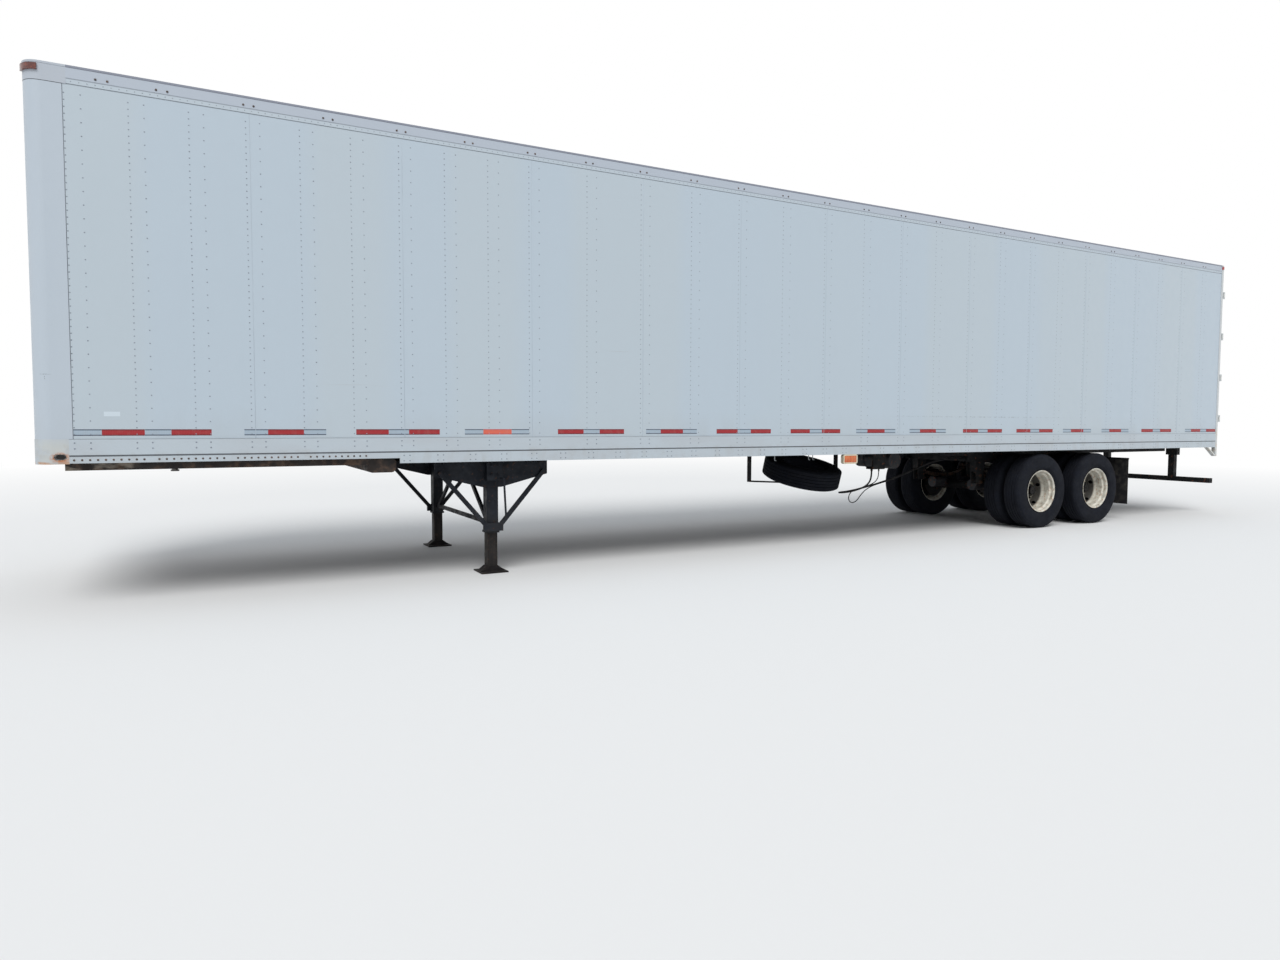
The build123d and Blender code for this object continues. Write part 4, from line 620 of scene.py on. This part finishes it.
seamSheet = {
    "width": 0.005, "rise": 0.001, "sunk": 0.001, "edge": 0.0007, "pitch": 1.2192, "count": 12,
    "afterPost": 0.026, "cornerWidth": 0.007, "cornerRise": 0.0022, "cornerSunk": 0.002,
    "cornerEdge": 0.001,
}


def makeSeams():
    s = seamSheet
    y, low, high = -trailer["wallY"], trailer["railTop"], trailer["topRailBottom"]
    x = trailer["firstPostX"] + s["afterPost"] + s["pitch"]
    bead = softBlock("bead", (x, y - s["rise"], low), (x + s["width"], y + s["sunk"], high), edge=s["edge"])
    fitBoth("sheetSeams", [rowOf(bead, s["count"], (s["pitch"], 0, 0))], sealant)
    x, half = trailer["sideStartX"], s["cornerWidth"] / 2
    corner = softBlock("corner", (x - half, y - s["cornerRise"], low), (x + half, y + s["cornerSunk"], high),
                       edge=s["cornerEdge"])
    fitBoth("cornerSeam", [corner], seamShadow)


makeSeams()
print("wall rivets and seams done")

# rivets of the bottom and top rails
railRivetSheet = {
    "radius": 0.0065, "rise": 0.003, "upperRows": (1.262, 1.306), "lowerRows": (1.126, 1.174),
    "memberStart": -5.322, "memberPitch": 0.3048, "members": 43, "memberGap": 0.052, "stepRow": 4.0,
    "stepPitch": 0.0508, "stepRadius": 0.0036, "stepIn": 0.004, "stepStart": 0.03, "stepEnds": 0.05,
    "frontRow": 1.1745, "frontFirst": -7.811, "frontPitch": 0.0508, "frontBolts": 10, "frontGroups": 4,
    "frontRadius": 0.0085, "frontRise": 0.0048,
}


def makeRailRivets():
    s, t = railRivetSheet, trailer

    def line(start, count, pitch, z, inward=0.0, radius=s["radius"], rise=s["rise"]):
        return rivetRow(radius, rise, towardRoad, (start, inward - t["halfWidth"], z), (count, (pitch, 0, 0)))

    rivets = [line(start + gap, count, pitch, z) for z in s["upperRows"]
              for gap in (0.0, rivetSheet["columnGap"]) for start, count, pitch in postRows()]
    rivets += [line(s["memberStart"] + side * s["memberGap"], s["members"], s["memberPitch"], z)
               for z in s["lowerRows"] for side in (-0.5, 0.5)]
    count = int((t["frameX"] - t["castingEndX"] - s["stepEnds"]) / s["stepPitch"])
    rivets.append(line(t["castingEndX"] + s["stepStart"], count, s["stepPitch"], s["stepRow"], s["stepIn"],
                       s["stepRadius"]))
    fitBoth("railRivets", rivets, rivetGreyDirtAndShade)
    groupPitch = (s["frontBolts"] + 1) * s["frontPitch"]
    bolts = [line(s["frontFirst"] + group * groupPitch, s["frontBolts"], s["frontPitch"], s["frontRow"],
                  radius=s["frontRadius"], rise=s["frontRise"]) for group in range(s["frontGroups"])]
    fitBoth("frontRailBolts", bolts, rustyBolt)


makeRailRivets()

bowBoltSheet = {
    "radius": 0.0085, "rise": 0.005, "sides": 10, "gap": 0.076, "z": 4.042, "first": -7.565,
    "second": -7.171, "pitch": 0.6096, "count": 24, "last": 7.469, "sunk": 0.002,
}


def makeBowBolts():
    s = bowBoltSheet
    radius, rise = s["radius"], s["rise"]
    bolts = []
    for start, count in ((s["first"], 1), (s["second"], s["count"]), (s["last"], 1)):
        for side in (-0.5, 0.5):
            bolt = turned("bolt", [(radius, 0), (radius, rise * 0.6), (radius * 0.6, rise)], sides=s["sides"])
            layAlong(bolt, towardRoad, (start + side * s["gap"], s["sunk"] - trailer["halfWidth"], s["z"]))
            bolts.append(rowOf(bolt, count, (s["pitch"], 0, 0)))
    fitBoth("bowBolts", bolts, rustyBolt)


makeBowBolts()
print("rail rivets and bow bolts done")

# reflecting tape along the sides: the two ends of each strip and its order of white, red and faded red
tapeSheet = {
    "low": 1.360, "high": 1.410, "gauge": 0.0006, "gap": 0.0005, "edge": 0.0002, "White": 0.178,
    "Red": 0.279, "Faded": 0.279,
}
tapeMarks = {"W": ("White", whiteTape), "R": ("Red", redTape), "F": ("Faded", fadedTape)}
roadStrips = (
    (-7.811, -6.881, "WRWR"), (-6.642, -6.005, "WRW"), (-5.758, -5.022, "RWR"), (-4.788, -4.152, "WFW"),
    (-3.852, -3.118, "RWR"), (-2.860, -2.233, "WRW"), (-1.979, -1.240, "RWR"), (-0.957, -0.207, "RWR"),
    (0.045, 0.694, "WRW"), (0.939, 1.591, "WRW"), (1.912, 2.681, "RWR"), (2.977, 3.757, "RWR"),
    (3.986, 4.642, "WRW"), (4.894, 5.569, "WRW"), (5.901, 6.707, "RWR"), (7.097, 7.990, "WRWR"),
)


def makeTape():
    s = tapeSheet
    for side, label in ((-1, "Road"), (1, "Curb")):
        near, far = sorted((side * trailer["wallY"], side * (trailer["wallY"] + s["gauge"])))
        groups = {mark: [] for mark in tapeMarks}
        for start, end, order in roadStrips:
            if label == "Curb":  # only the road side has a faded strip
                order = order.replace("F", "R")
            lengths = [s[tapeMarks[mark][0]] for mark in order]
            scale = (end - start) / sum(lengths)
            for mark, length in zip(order, lengths):
                stop = start + length * scale
                groups[mark].append(softBlock("strip", (start + s["gap"], near, s["low"]),
                                              (stop - s["gap"], far, s["high"]), edge=s["edge"], rounds=1))
                start = stop
        for mark, pieces in groups.items():
            if pieces:
                word, finish = tapeMarks[mark]
                fitOut(f"tape{word}{label}", pieces, finish)


makeTape()
print("tape done")

# tyres: a ribbed tread on the casing of the drawing, with notches along its shoulders
tyreSheet = {
    "sides": 96, "bead": (0.2866, 0.102), "radius": 0.525, "grooveDepth": 0.013, "grooveSlant": 0.0015,
    "grooves": ((0.059, 0.067), (0.018, 0.026)), "notch": 0.004, "notchInset": 0.003,
    "shoulder": (0.111, 0.117), "shoulderAbove": 0.505, "crease": 28,
}
spareSheet = {"place": (0.262, 0.0, 0.821), "tilt": 3.3, "lean": 14.3}


def tyreProfile():  # (radius, distance across) round the whole section, starting at the bead
    s = tyreSheet
    half = [s["bead"], (0.304, 0.103), (0.318, 0.114), (0.338, 0.127), (0.345, 0.1275), (0.349, 0.1315),
            (0.40, 0.135), (0.44, 0.1335), (0.47, 0.130), (0.492, 0.1265), (0.496, 0.1225), (0.511, 0.116),
            (0.520, 0.109), (0.5245, 0.100)]
    deep = s["radius"] - s["grooveDepth"]
    for near, far in s["grooves"]:
        half += [(s["radius"], far), (deep, far - s["grooveSlant"]), (deep, near + s["grooveSlant"]),
                 (s["radius"], near)]
    half.append((s["radius"], 0.0))
    return half + [(radius, -across) for radius, across in reversed(half[:-1])] + [s["bead"]]


def makeTyre():
    s = tyreSheet
    piece = turned("tyre", tyreProfile(), sides=s["sides"], closed=False)
    pickMesh("DESELECT")
    bpy.ops.mesh.select_mode(type="FACE")
    mesh = bmesh.from_edit_mesh(piece.data)
    step = 2 * math.pi / s["sides"]
    for face in mesh.faces:
        x, y, z = face.calc_center_median()
        onShoulder = s["shoulder"][0] < abs(z) < s["shoulder"][1] and math.hypot(x, y) > s["shoulderAbove"]
        face.select = onShoulder and math.floor(math.atan2(y, x) / step) % 2 == 0
    bmesh.update_edit_mesh(piece.data)
    bpy.ops.mesh.inset(thickness=s["notchInset"], depth=-s["notch"], use_individual=True)
    bpy.ops.object.mode_set(mode="OBJECT")
    return piece


def makeTyres():
    pattern, s = makeTyre(), tyreSheet
    for side, name, x in wheels:
        pair = []
        for direction in (-0.5, 0.5):
            y = side * (trailer["discY"] + direction * trailer["wheelSpacing"])
            pair.append(layAlong(copyOf(pattern, "tyre"), towardCurb, (x, y, trailer["axleZ"])))
        piece = fitOut(f"ribbedTyres_{name}", pair, tyreRubber, f"wheel_{name}", s["crease"])
        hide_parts(f"tyres_{name}")
    tilt, lean = (math.radians(spareSheet[key]) for key in ("tilt", "lean"))
    turn = Matrix.Rotation(tilt, 4, "Y") @ Matrix.Rotation(lean, 4, "X")
    pattern.matrix_world = Matrix.Translation(spareSheet["place"]) @ turn
    fitOut("ribbedSpare", [pattern], tyreRubber, crease=s["crease"])
    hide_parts("spare_tyre")


makeTyres()
print("tyres done")


# seats found on the frame itself, so that a bolt stands on what carries it

def seatOn(nodes, start, direction):  # the first place that a line from the start meets on these nodes
    start, direction = Vector(start), Vector(direction)
    hits = [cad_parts[node].ray_cast(start, direction) for node in nodes]
    places = [place for hit, place, normal, index in hits if hit]
    return min(places, key=lambda place: (place - start).length, default=None)


def boltHead(across, rise, sides=6, washer=1.45, washerRise=0.002):
    return turned("bolt", [(across * washer, -0.001), (across * washer, washerRise), (across, washerRise),
                           (across, rise * 0.85), (across * 0.8, rise)], sides=sides)


def setOn(name, pattern, nodes, starts, finish, direction=towardCurb, body="trailer", bothSides=True,
          proud=0.0):
    pieces = []
    for side in (1, -1) if bothSides else (1,):
        heading = Vector((direction[0], direction[1] * side, direction[2]))
        for x, y, z in starts:
            seat = seatOn(nodes, (x, y * side, z), heading)
            if seat is None:
                print("no seat for", name, x, y, z)
            else:
                pieces.append(layAlong(copyOf(pattern, "part"), -heading, seat - heading * proud))
    bpy.data.objects.remove(pattern)
    return fitOut(name, pieces, finish, body)


def ringPlaces(x, y, circle, count, turn=0.0):  # places round an axle, beginning a share of a step round
    angles = [2 * math.pi * (index + turn) / count for index in range(count)]
    z = trailer["axleZ"]
    return [(x + circle * math.cos(angle), y, z + circle * math.sin(angle)) for angle in angles]


# wheel nuts and studs round each hub
nutSheet = {
    "count": 10, "circle": 0.1425, "across": 0.0165, "length": 0.022, "studRadius": 0.010,
    "studLength": 0.034, "seat": 0.0115,
}


def makeWheelNuts():
    s = nutSheet
    across, length, stud, end = s["across"], s["length"], s["studRadius"], s["studLength"]
    nut = turned("nut", [(across * 0.92, 0.0), (across, 0.0015), (across, length - 0.003),
                         (across * 0.82, length), (stud, length), (stud, end - 0.002), (stud * 0.8, end)],
                 sides=6)
    for side, name, x in wheels:
        places = ringPlaces(x, side * (trailer["discY"] + s["seat"]), s["circle"], s["count"], turn=0.5)
        ring = [layAlong(copyOf(nut, "nut"), (0, side, 0), place) for place in places]
        fitOut(f"wheelNuts_{name}", ring, hubGrease, f"wheel_{name}")
    bpy.data.objects.remove(nut)


makeWheelNuts()

# cap bolts and filler plug on each hub, and the valve stem of each outer rim
capSheet = {
    "bolts": 6, "circle": 0.058, "across": 0.006, "rise": 0.006, "plugRadius": 0.012, "plugRise": 0.005,
    "outside": 1.40, "stemRadius": 0.0045, "stemLength": 0.060, "stemCap": 0.011, "stemCircle": 0.222,
    "stemY": 1.030, "stemLean": 0.35,
}


def makeCaps():
    s = capSheet
    across, rise, plugRadius, plugRise = s["across"], s["rise"], s["plugRadius"], s["plugRise"]
    bolt = turned("capBolt", [(across, -0.001), (across, rise * 0.8), (across * 0.7, rise)], sides=6)
    plug = turned("plug", [(plugRadius, -0.001), (plugRadius, plugRise * 0.7), (plugRadius * 0.7, plugRise)],
                  sides=16)
    radius, length, cap = s["stemRadius"], s["stemLength"], s["stemLength"] - s["stemCap"]
    stem = turned("stem", [(radius, 0.0), (radius, cap - 0.001), (radius * 1.5, cap), (radius * 1.5, length)],
                  sides=10)
    for side, name, x in wheels:
        outside = side * s["outside"]
        starts = [(bolt, start) for start in ringPlaces(x, outside, s["circle"], s["bolts"])]
        pieces = []
        for pattern, start in starts + [(plug, (x, outside, trailer["axleZ"]))]:
            place = seatOn((f"hub_{name}",), start, (0, -side, 0))
            pieces.append(layAlong(copyOf(pattern, "part"), (0, side, 0), place))
        fitOut(f"hubCap_{name}", pieces, hubGrease, f"wheel_{name}")
        tube = layAlong(copyOf(stem, "stem"), (0, side, -s["stemLean"]),
                        (x, side * s["stemY"], trailer["axleZ"] + s["stemCircle"]))
        fitOut(f"valveStem_{name}", [tube], rivetGreyDirtAndShade, f"wheel_{name}")
    for pattern in (bolt, plug, stem):
        bpy.data.objects.remove(pattern)


makeCaps()
print("wheel nuts, caps and valve stems done")

# bolts of the landing gear: along the wing plates, on the leg tubes and on the gearbox lid
legBoltSheet = {
    "across": 0.011, "rise": 0.012, "outside": -1.40, "plateZ": 1.080,
    "plateX": (-4.93, -4.80, -4.67, -4.22, -4.09, -3.96), "tubeX": (-4.482, -4.412),
    "tubeZ": (0.70, 0.97, 1.06),
}


def makeLegBolts():
    s = legBoltSheet
    starts = [(x, s["outside"], s["plateZ"]) for x in s["plateX"]]
    starts += [(x, s["outside"], z) for x in s["tubeX"] for z in s["tubeZ"]]
    setOn("legBolts", boltHead(s["across"], s["rise"]), ("leg_braces", "leg_tubes", "leg_drive"), starts,
          legPaint)


makeLegBolts()

# pins and bolts of the springs, hangers and radius rods
pinSheet = {
    "across": 0.020, "rise": 0.020, "boltAcross": 0.010, "boltRise": 0.012, "outside": -0.66,
    "nodes": ("spring_hangers", "equalizers", "radius_rods", "bogie_frame"),
    "pins": ((3.075, 0.72), (5.32, 0.72), (4.1975, 0.818), (3.1, 0.625), (4.22, 0.625), (3.075, 0.625)),
    "bolts": tuple((x, 0.90) for x in (3.03, 3.12, 5.27, 5.37, 4.12, 4.27)),
}


def makePins():
    s, nodes = pinSheet, pinSheet["nodes"]
    pins, bolts = ([(x, s["outside"], z) for x, z in s[key]] for key in ("pins", "bolts"))
    setOn("suspensionPins", boltHead(s["across"], s["rise"]), nodes, pins, rustySteel)
    setOn("hangerBolts", boltHead(s["boltAcross"], s["boltRise"]), nodes, bolts, blackFrame)


makePins()

# locking holes along the sliding rails, each a rolled rim round a dark bottom: painted shade standing in for
# the open hole
slotSheet = {
    "first": 2.50, "count": 50, "pitch": 0.1016, "z": 1.065, "outside": -0.70, "radius": 0.024,
    "hole": 0.016, "rise": 0.0018, "bottom": 0.0004,
}


def makeSlideHoles():
    s = slotSheet
    rim = turned("rim", [(s["radius"], -0.001), (s["radius"] - 0.002, s["rise"]),
                         (s["hole"] + 0.001, s["rise"]), (s["hole"], s["bottom"])], sides=16)
    starts = [(s["first"] + index * s["pitch"], s["outside"], s["z"]) for index in range(s["count"])]
    setOn("slideRailHoles", rim, ("slide_rails",), starts, blackRubberAndHoleShade)


makeSlideHoles()

# bolts and clamping bars of the mud flaps
flapSheet = {
    "z": 0.905, "places": (-1.22, -1.10, -0.98, -0.86, -0.74), "behind": 5.80, "across": 0.009,
    "rise": 0.010, "barEnds": (0.70, 1.262), "barLow": 0.888, "barHigh": 0.922, "barGauge": 0.004,
    "sunk": 0.001,
}


def makeFlapBolts():
    s = flapSheet
    face = spanOf("mud_flaps")[1][0]
    for side, label in ((-1, "Road"), (1, "Curb")):
        near, far = sorted(side * y for y in s["barEnds"])
        bar = softBlock("bar", (face - s["sunk"], near, s["barLow"]),
                        (face + s["barGauge"], far, s["barHigh"]), edge=0.001)
        fitOut(f"flapBar{label}", [bar], galvanised)
    setOn("flapBolts", boltHead(s["across"], s["rise"]), ("mud_flaps",),
          [(s["behind"], y, s["z"]) for y in s["places"]], galvanised, towardNose,
          proud=s["barGauge"])


makeFlapBolts()
print("bolts of the running gear done")

# frames and lenses of the lamps under the side rails
sideLampSheet = {
    "start": -0.1525, "proud": 0.002, "gauge": 0.014, "setBack": 0.004, "border": 0.017, "corner": 0.026,
    "edge": 0.0012, "depth": 0.006, "lensInset": 0.021, "lensProud": 0.0035, "lensBack": 0.006, "ribs": 9,
    "ribInset": 0.036, "ribWidth": 0.004, "ribEnds": 0.030, "ribPitch": 0.0178, "ribProud": 0.0045,
    "ribEdge": 0.0008,
}


def makeSideLamps():
    s = sideLampSheet
    low, high = spanOf("amber_lamps")
    face = -trailer["wallY"] - s["proud"]
    start, end, bottom, top = s["start"], high[0], low[2], trailer["railBottom"]
    middle = ((start + end) / 2, face + s["setBack"], (bottom + top) / 2)
    clearPick()
    bpy.ops.mesh.primitive_cube_add(size=1, location=middle)
    ring = bpy.context.active_object
    ring.scale = (end - start, s["gauge"], top - bottom)
    settle(ring)
    pickMesh("DESELECT")
    bpy.ops.mesh.select_mode(type="EDGE")
    for edge in bmesh.from_edit_mesh(ring.data).edges:
        first, second = (vert.co for vert in edge.verts)
        edge.select = abs(first.y - second.y) > s["gauge"] / 2
    bmesh.update_edit_mesh(ring.data)
    bpy.ops.mesh.bevel(offset=s["corner"], segments=6, affect="EDGES")
    bpy.ops.mesh.select_mode(type="FACE")
    pickMesh("DESELECT")
    for item in bmesh.from_edit_mesh(ring.data).faces:
        item.select = item.normal.y < -0.9
    bmesh.update_edit_mesh(ring.data)
    bpy.ops.mesh.inset(thickness=s["border"], depth=0)
    bpy.ops.mesh.extrude_region_move(TRANSFORM_OT_translate={"value": (0, s["depth"], 0)})
    bpy.ops.object.mode_set(mode="OBJECT")
    applyModifier(ring, "BEVEL", width=s["edge"], segments=2, limit_method="ANGLE")
    inset, rib, ends = s["lensInset"], start + s["ribInset"], s["ribEnds"]
    lens = softBlock("lens", (start + inset, face - s["lensProud"], bottom + inset),
                     (end - inset, face + s["lensBack"], top - inset), edge=s["lensProud"], rounds=3)
    bars = softBlock("rib", (rib, face - s["ribProud"], bottom + ends),
                     (rib + s["ribWidth"], face, top - ends), edge=s["ribEdge"])
    rowOf(bars, s["ribs"], (s["ribPitch"], 0, 0))
    fitBoth("sideLampFrame", [ring], paleBezel)
    fitBoth("sideLampLens", [lens, bars], amberLens)


makeSideLamps()

# rubber rings round the tail lamps
grommetSheet = {"inner": 0.051, "outer": 0.064, "rise": 0.008, "places": (0.640, 0.780), "z": 1.1755}


def makeGrommets():
    s = grommetSheet
    inner, outer, rise, face = s["inner"], s["outer"], s["rise"], spanOf("dock_bumpers")[0][0]
    profile = [(inner, -0.001), (outer, -0.001), (outer, 0.004), (outer - 0.004, rise), (inner + 0.003, rise),
               (inner, 0.005), (inner, -0.001)]
    rings = [layAlong(turned("ring", profile, sides=40, closed=False), towardRear, (face, side * y, s["z"]))
             for y in s["places"] for side in (-1, 1)]
    fitOut("tailLampRings", rings, blackRubberAndHoleShade)


makeGrommets()
print("lamps done")

# rubber seals and rivets of the rear doors, and tape across the back
doorSheet = {
    "width": 0.020, "rise": 0.0025, "sunk": 0.002, "rivetRadius": 0.005, "rivetRise": 0.002,
    "rivetInset": 0.040, "rivetPitch": 0.1016, "across": 12, "upright": 25, "bolt": 0.008, "behind": 8.30,
    "strapZ": (1.583, 2.265, 2.947, 3.629), "strapY": (1.075, 1.135),
}


def makeDoors():
    s = doorSheet
    face, width, inset, pitch = trailer["doorX"], s["width"], s["rivetInset"], s["rivetPitch"]
    (near, low), (far, high) = (corner[1:] for corner in spanOf("door_curb"))
    for side, label in ((-1, "road"), (1, "curb")):
        body = f"rear_door_{label}"
        strips = []
        for (y1, z1), (y2, z2) in (((near, low), (far, low + width)), ((near, high - width), (far, high)),
                                   ((near, low), (near + width, high)), ((far - width, low), (far, high))):
            left, right = sorted((side * y1, side * y2))
            strips.append(softBlock("seal", (face - s["sunk"], left, z1), (face + s["rise"], right, z2),
                                    edge=0.001))
        fitOut(f"doorSeal_{label}", strips, blackRubberAndHoleShade, body)
        across, upright = (s["across"], (0, side * pitch, 0)), (s["upright"], (0, 0, pitch))
        rows = [((near + inset, z), across) for z in (low + inset, high - inset)]
        rows += [((y, low + inset + pitch), upright) for y in (near + inset, far - inset)]
        rivets = [rivetRow(s["rivetRadius"], s["rivetRise"], towardRear, (face, side * y, z), row)
                  for (y, z), row in rows]
        fitOut(f"doorRivets_{label}", rivets, rivetGreyDirtAndShade, body)
        starts = [(s["behind"], side * y, z) for z in s["strapZ"] for y in s["strapY"]]
        setOn(f"hingeBolts_{label}", boltHead(s["bolt"], s["bolt"]), (f"door_gear_{label}",), starts,
              galvanised, towardNose, body, bothSides=False)


makeDoors()

rearTapeSheet = {
    "gauge": 0.0008, "sunk": 0.0004, "doorZ": (1.420, 1.470), "doorY": (0.030, 1.205),
    "guardZ": (0.512, 0.562), "guardEnd": 1.235, "guardStart": (8.5, -0.2, 0.537), "least": 0.01,
}


def makeRearTape():
    s, t = rearTapeSheet, tapeSheet
    guardFace = seatOn(("rear_guard",), s["guardStart"], towardNose).x
    near, far = s["doorY"]
    runs = (("rear_door_road", trailer["doorX"], s["doorZ"], -far, -near),
            ("rear_door_curb", trailer["doorX"], s["doorZ"], near, far),
            ("trailer", guardFace, s["guardZ"], -s["guardEnd"], s["guardEnd"]))
    for body, face, (low, high), y, end in runs:
        groups = {"Red": [], "White": []}
        turn = 0
        while y < end - s["least"]:
            colour = ("Red", "White")[turn % 2]
            stop = min(y + t[colour], end)
            groups[colour].append(softBlock("strip", (face - s["sunk"], y + t["gap"], low),
                                            (face + s["gauge"], stop - t["gap"], high), t["edge"], rounds=1))
            y, turn = stop, turn + 1
        for colour, finish in (("White", rearWhiteTape), ("Red", rearRedTape)):
            fitOut(f"rearTape{colour}_{body}", groups[colour], finish, body)


makeRearTape()
print("rear doors and tape done")

# rivets of the front wall and of the roof edges, screws of the floor
noseRivetSheet = {
    "columns": (0.305, 0.61, 0.915), "pitch": 0.1016, "low": 1.385, "high": 3.94, "middleLow": 1.65,
}
roofRivetSheet = {"radius": 0.006, "rise": 0.0025, "y": 1.262, "pitch": 0.1016, "count": 156, "start": -7.93}
floorScrewSheet = {"radius": 0.007, "rise": 0.0012, "rows": (0.09, 0.39, 0.69, 0.99, 1.17)}


def makeEndRivets():
    s, r = noseRivetSheet, rivetSheet
    places = [(0.0, s["middleLow"])] + [(side * y, s["low"]) for y in s["columns"] for side in (-1, 1)]
    wall, roof, floor = spanOf("front_wall")[0][0], spanOf("roof_sheet")[1][2], spanOf("floor")[1][2]
    rivets = [rivetRow(r["radius"], r["rise"], towardNose, (wall, y, low),
                       (int((s["high"] - low) / s["pitch"]), (0, 0, s["pitch"]))) for y, low in places]
    fitOut("noseRivets", rivets, rivetGreyDirtAndShade)
    s = roofRivetSheet
    start = (s["start"], -s["y"], roof)
    row = rivetRow(s["radius"], s["rise"], upward, start, (s["count"], (s["pitch"], 0, 0)))
    fitBoth("roofRivets", [row], rivetGreyDirtAndShade)
    s, r = floorScrewSheet, railRivetSheet
    screws = [rivetRow(s["radius"], s["rise"], upward, (r["memberStart"], side * y, floor),
                       (r["members"], (r["memberPitch"], 0, 0))) for y in s["rows"] for side in (-1, 1)]
    fitOut("floorScrews", screws, rustyBolt)


makeEndRivets()

# pale tie hooks under the road side rail
hookSheet = {
    "places": (-1.153, -0.654, -0.592), "y": -1.250, "top": 1.106, "reach": 0.062, "gauge": 0.008,
    "foot": 0.022,
}


def makeHooks():
    s = hookSheet
    y, low, gauge = s["y"], s["top"] - s["reach"], s["gauge"]
    hooks = []
    for x in s["places"]:
        hooks.append(softBlock("stem", (x, y, low), (x + gauge, y + gauge, s["top"])))
        hooks.append(softBlock("foot", (x, y - s["foot"], low), (x + gauge, y + gauge, low + gauge)))
    fitOut("tieHooks", hooks, galvanised)


makeHooks()
print("rivets of the ends, floor screws and hooks done")

# camera, light and floor
view = {
    "place": (-7.1208, -9.0914, 1.4943), "yaw": 29.507, "pitch": -3.116, "roll": 0.286, "lens": 23.893,
    "sensor": 36.0, "shift": (-0.01462, -0.00988), "reach": 400,
}
lightSheet = {
    "sky": 0.62, "skyColour": (0.95, 0.975, 1.0, 1), "sun": 2.0, "sunColour": (1.0, 0.99, 0.97),
    "sunHeight": 52.0, "sunTurn": -28.0, "sunSize": 35.0,
}
floorSheet = {
    "size": 400, "below": 0.001, "colour": (226, 227, 228), "roughness": 0.9, "gloss": 0.1,
    "fadeFrom": 11.0, "fadeTo": 26.0,
}


def aim(turn, height):  # the direction that a turn from the Y axis and a height give
    return Vector((math.sin(turn) * math.cos(height), math.cos(turn) * math.cos(height), math.sin(height)))


def makeCamera():
    s = view
    yaw, pitch, roll = (math.radians(s[key]) for key in ("yaw", "pitch", "roll"))
    forward = aim(yaw, pitch)
    right = Vector((math.cos(yaw), -math.sin(yaw), 0.0))
    up = right.cross(forward)
    tiltedRight = right * math.cos(roll) + up * math.sin(roll)
    tiltedUp = up * math.cos(roll) - right * math.sin(roll)
    data = bpy.data.cameras.new("photoView")
    data.lens = s["lens"]
    data.sensor_width = s["sensor"]
    data.shift_x, data.shift_y = s["shift"]
    data.clip_end = s["reach"]
    camera = bpy.data.objects.new("photoView", data)
    bpy.context.scene.collection.objects.link(camera)
    turn = Matrix((tiltedRight, tiltedUp, -forward)).transposed().to_4x4()
    camera.matrix_world = Matrix.Translation(s["place"]) @ turn
    bpy.context.scene.camera = camera


def shaderMix(tree, factor, first, second, output):
    mix = addNode(tree, "MixShader", {"Fac": factor, 1: first, 2: second})
    tree.links.new(mix, tree.nodes[output].inputs["Surface"])


def seenRays(tree):  # 1 where the camera, a shiny face or a clear lens looks
    rays = tree.nodes.new("ShaderNodeLightPath").outputs
    return merged(tree, "MAXIMUM", [rays[f"Is {kind} Ray"] for kind in ("Camera", "Glossy", "Transmission")])


def makeLight():
    s = lightSheet
    world = bpy.data.worlds.new("paleSky")
    bpy.context.scene.world = world
    world.use_nodes = True
    tree = world.node_tree
    sky = addNode(tree, "Background", {"Color": s["skyColour"], "Strength": s["sky"]})
    plain = addNode(tree, "Background", {"Color": (1, 1, 1, 1), "Strength": 1.0})
    shaderMix(tree, seenRays(tree), sky, plain, "World Output")
    sun = bpy.data.lights.new("softSun", "SUN")
    sun.energy = s["sun"]
    sun.angle = math.radians(s["sunSize"])
    sun.color = s["sunColour"]
    lamp = bpy.data.objects.new("softSun", sun)
    bpy.context.scene.collection.objects.link(lamp)
    away = aim(-math.radians(s["sunTurn"]), -math.radians(s["sunHeight"]))
    lamp.rotation_euler = away.to_track_quat("-Z", "Y").to_euler()


def makeFloor():
    s = floorSheet
    clearPick()
    bpy.ops.mesh.primitive_plane_add(size=s["size"], location=(0, 0, -s["below"]))
    floor = bpy.context.active_object
    floor.name = "studioFloor"
    material = bpy.data.materials.new("paleFloor")
    material.use_nodes = True
    tree = material.node_tree
    shader = tree.nodes["Principled BSDF"]
    shader.inputs["Base Color"].default_value = tone(s["colour"])
    shader.inputs["Roughness"].default_value = s["roughness"]
    shader.inputs["Specular IOR Level"].default_value = s["gloss"]
    place = addNode(tree, "TexCoord", {}, "Object")
    length = addNode(tree, "VectorMath", {0: place}, "Value", operation="LENGTH")
    far = remap(tree, length, s["fadeFrom"], s["fadeTo"])
    glow = addNode(tree, "Emission", {"Color": (1, 1, 1, 1)})
    factor = merged(tree, "MULTIPLY", [far, seenRays(tree)])
    shaderMix(tree, factor, shader.outputs[0], glow, "Material Output")
    floor.data.materials.append(material)


makeCamera()
makeLight()
makeFloor()
bpy.context.scene.view_settings.view_transform = "Standard"
print("camera, light and floor done")
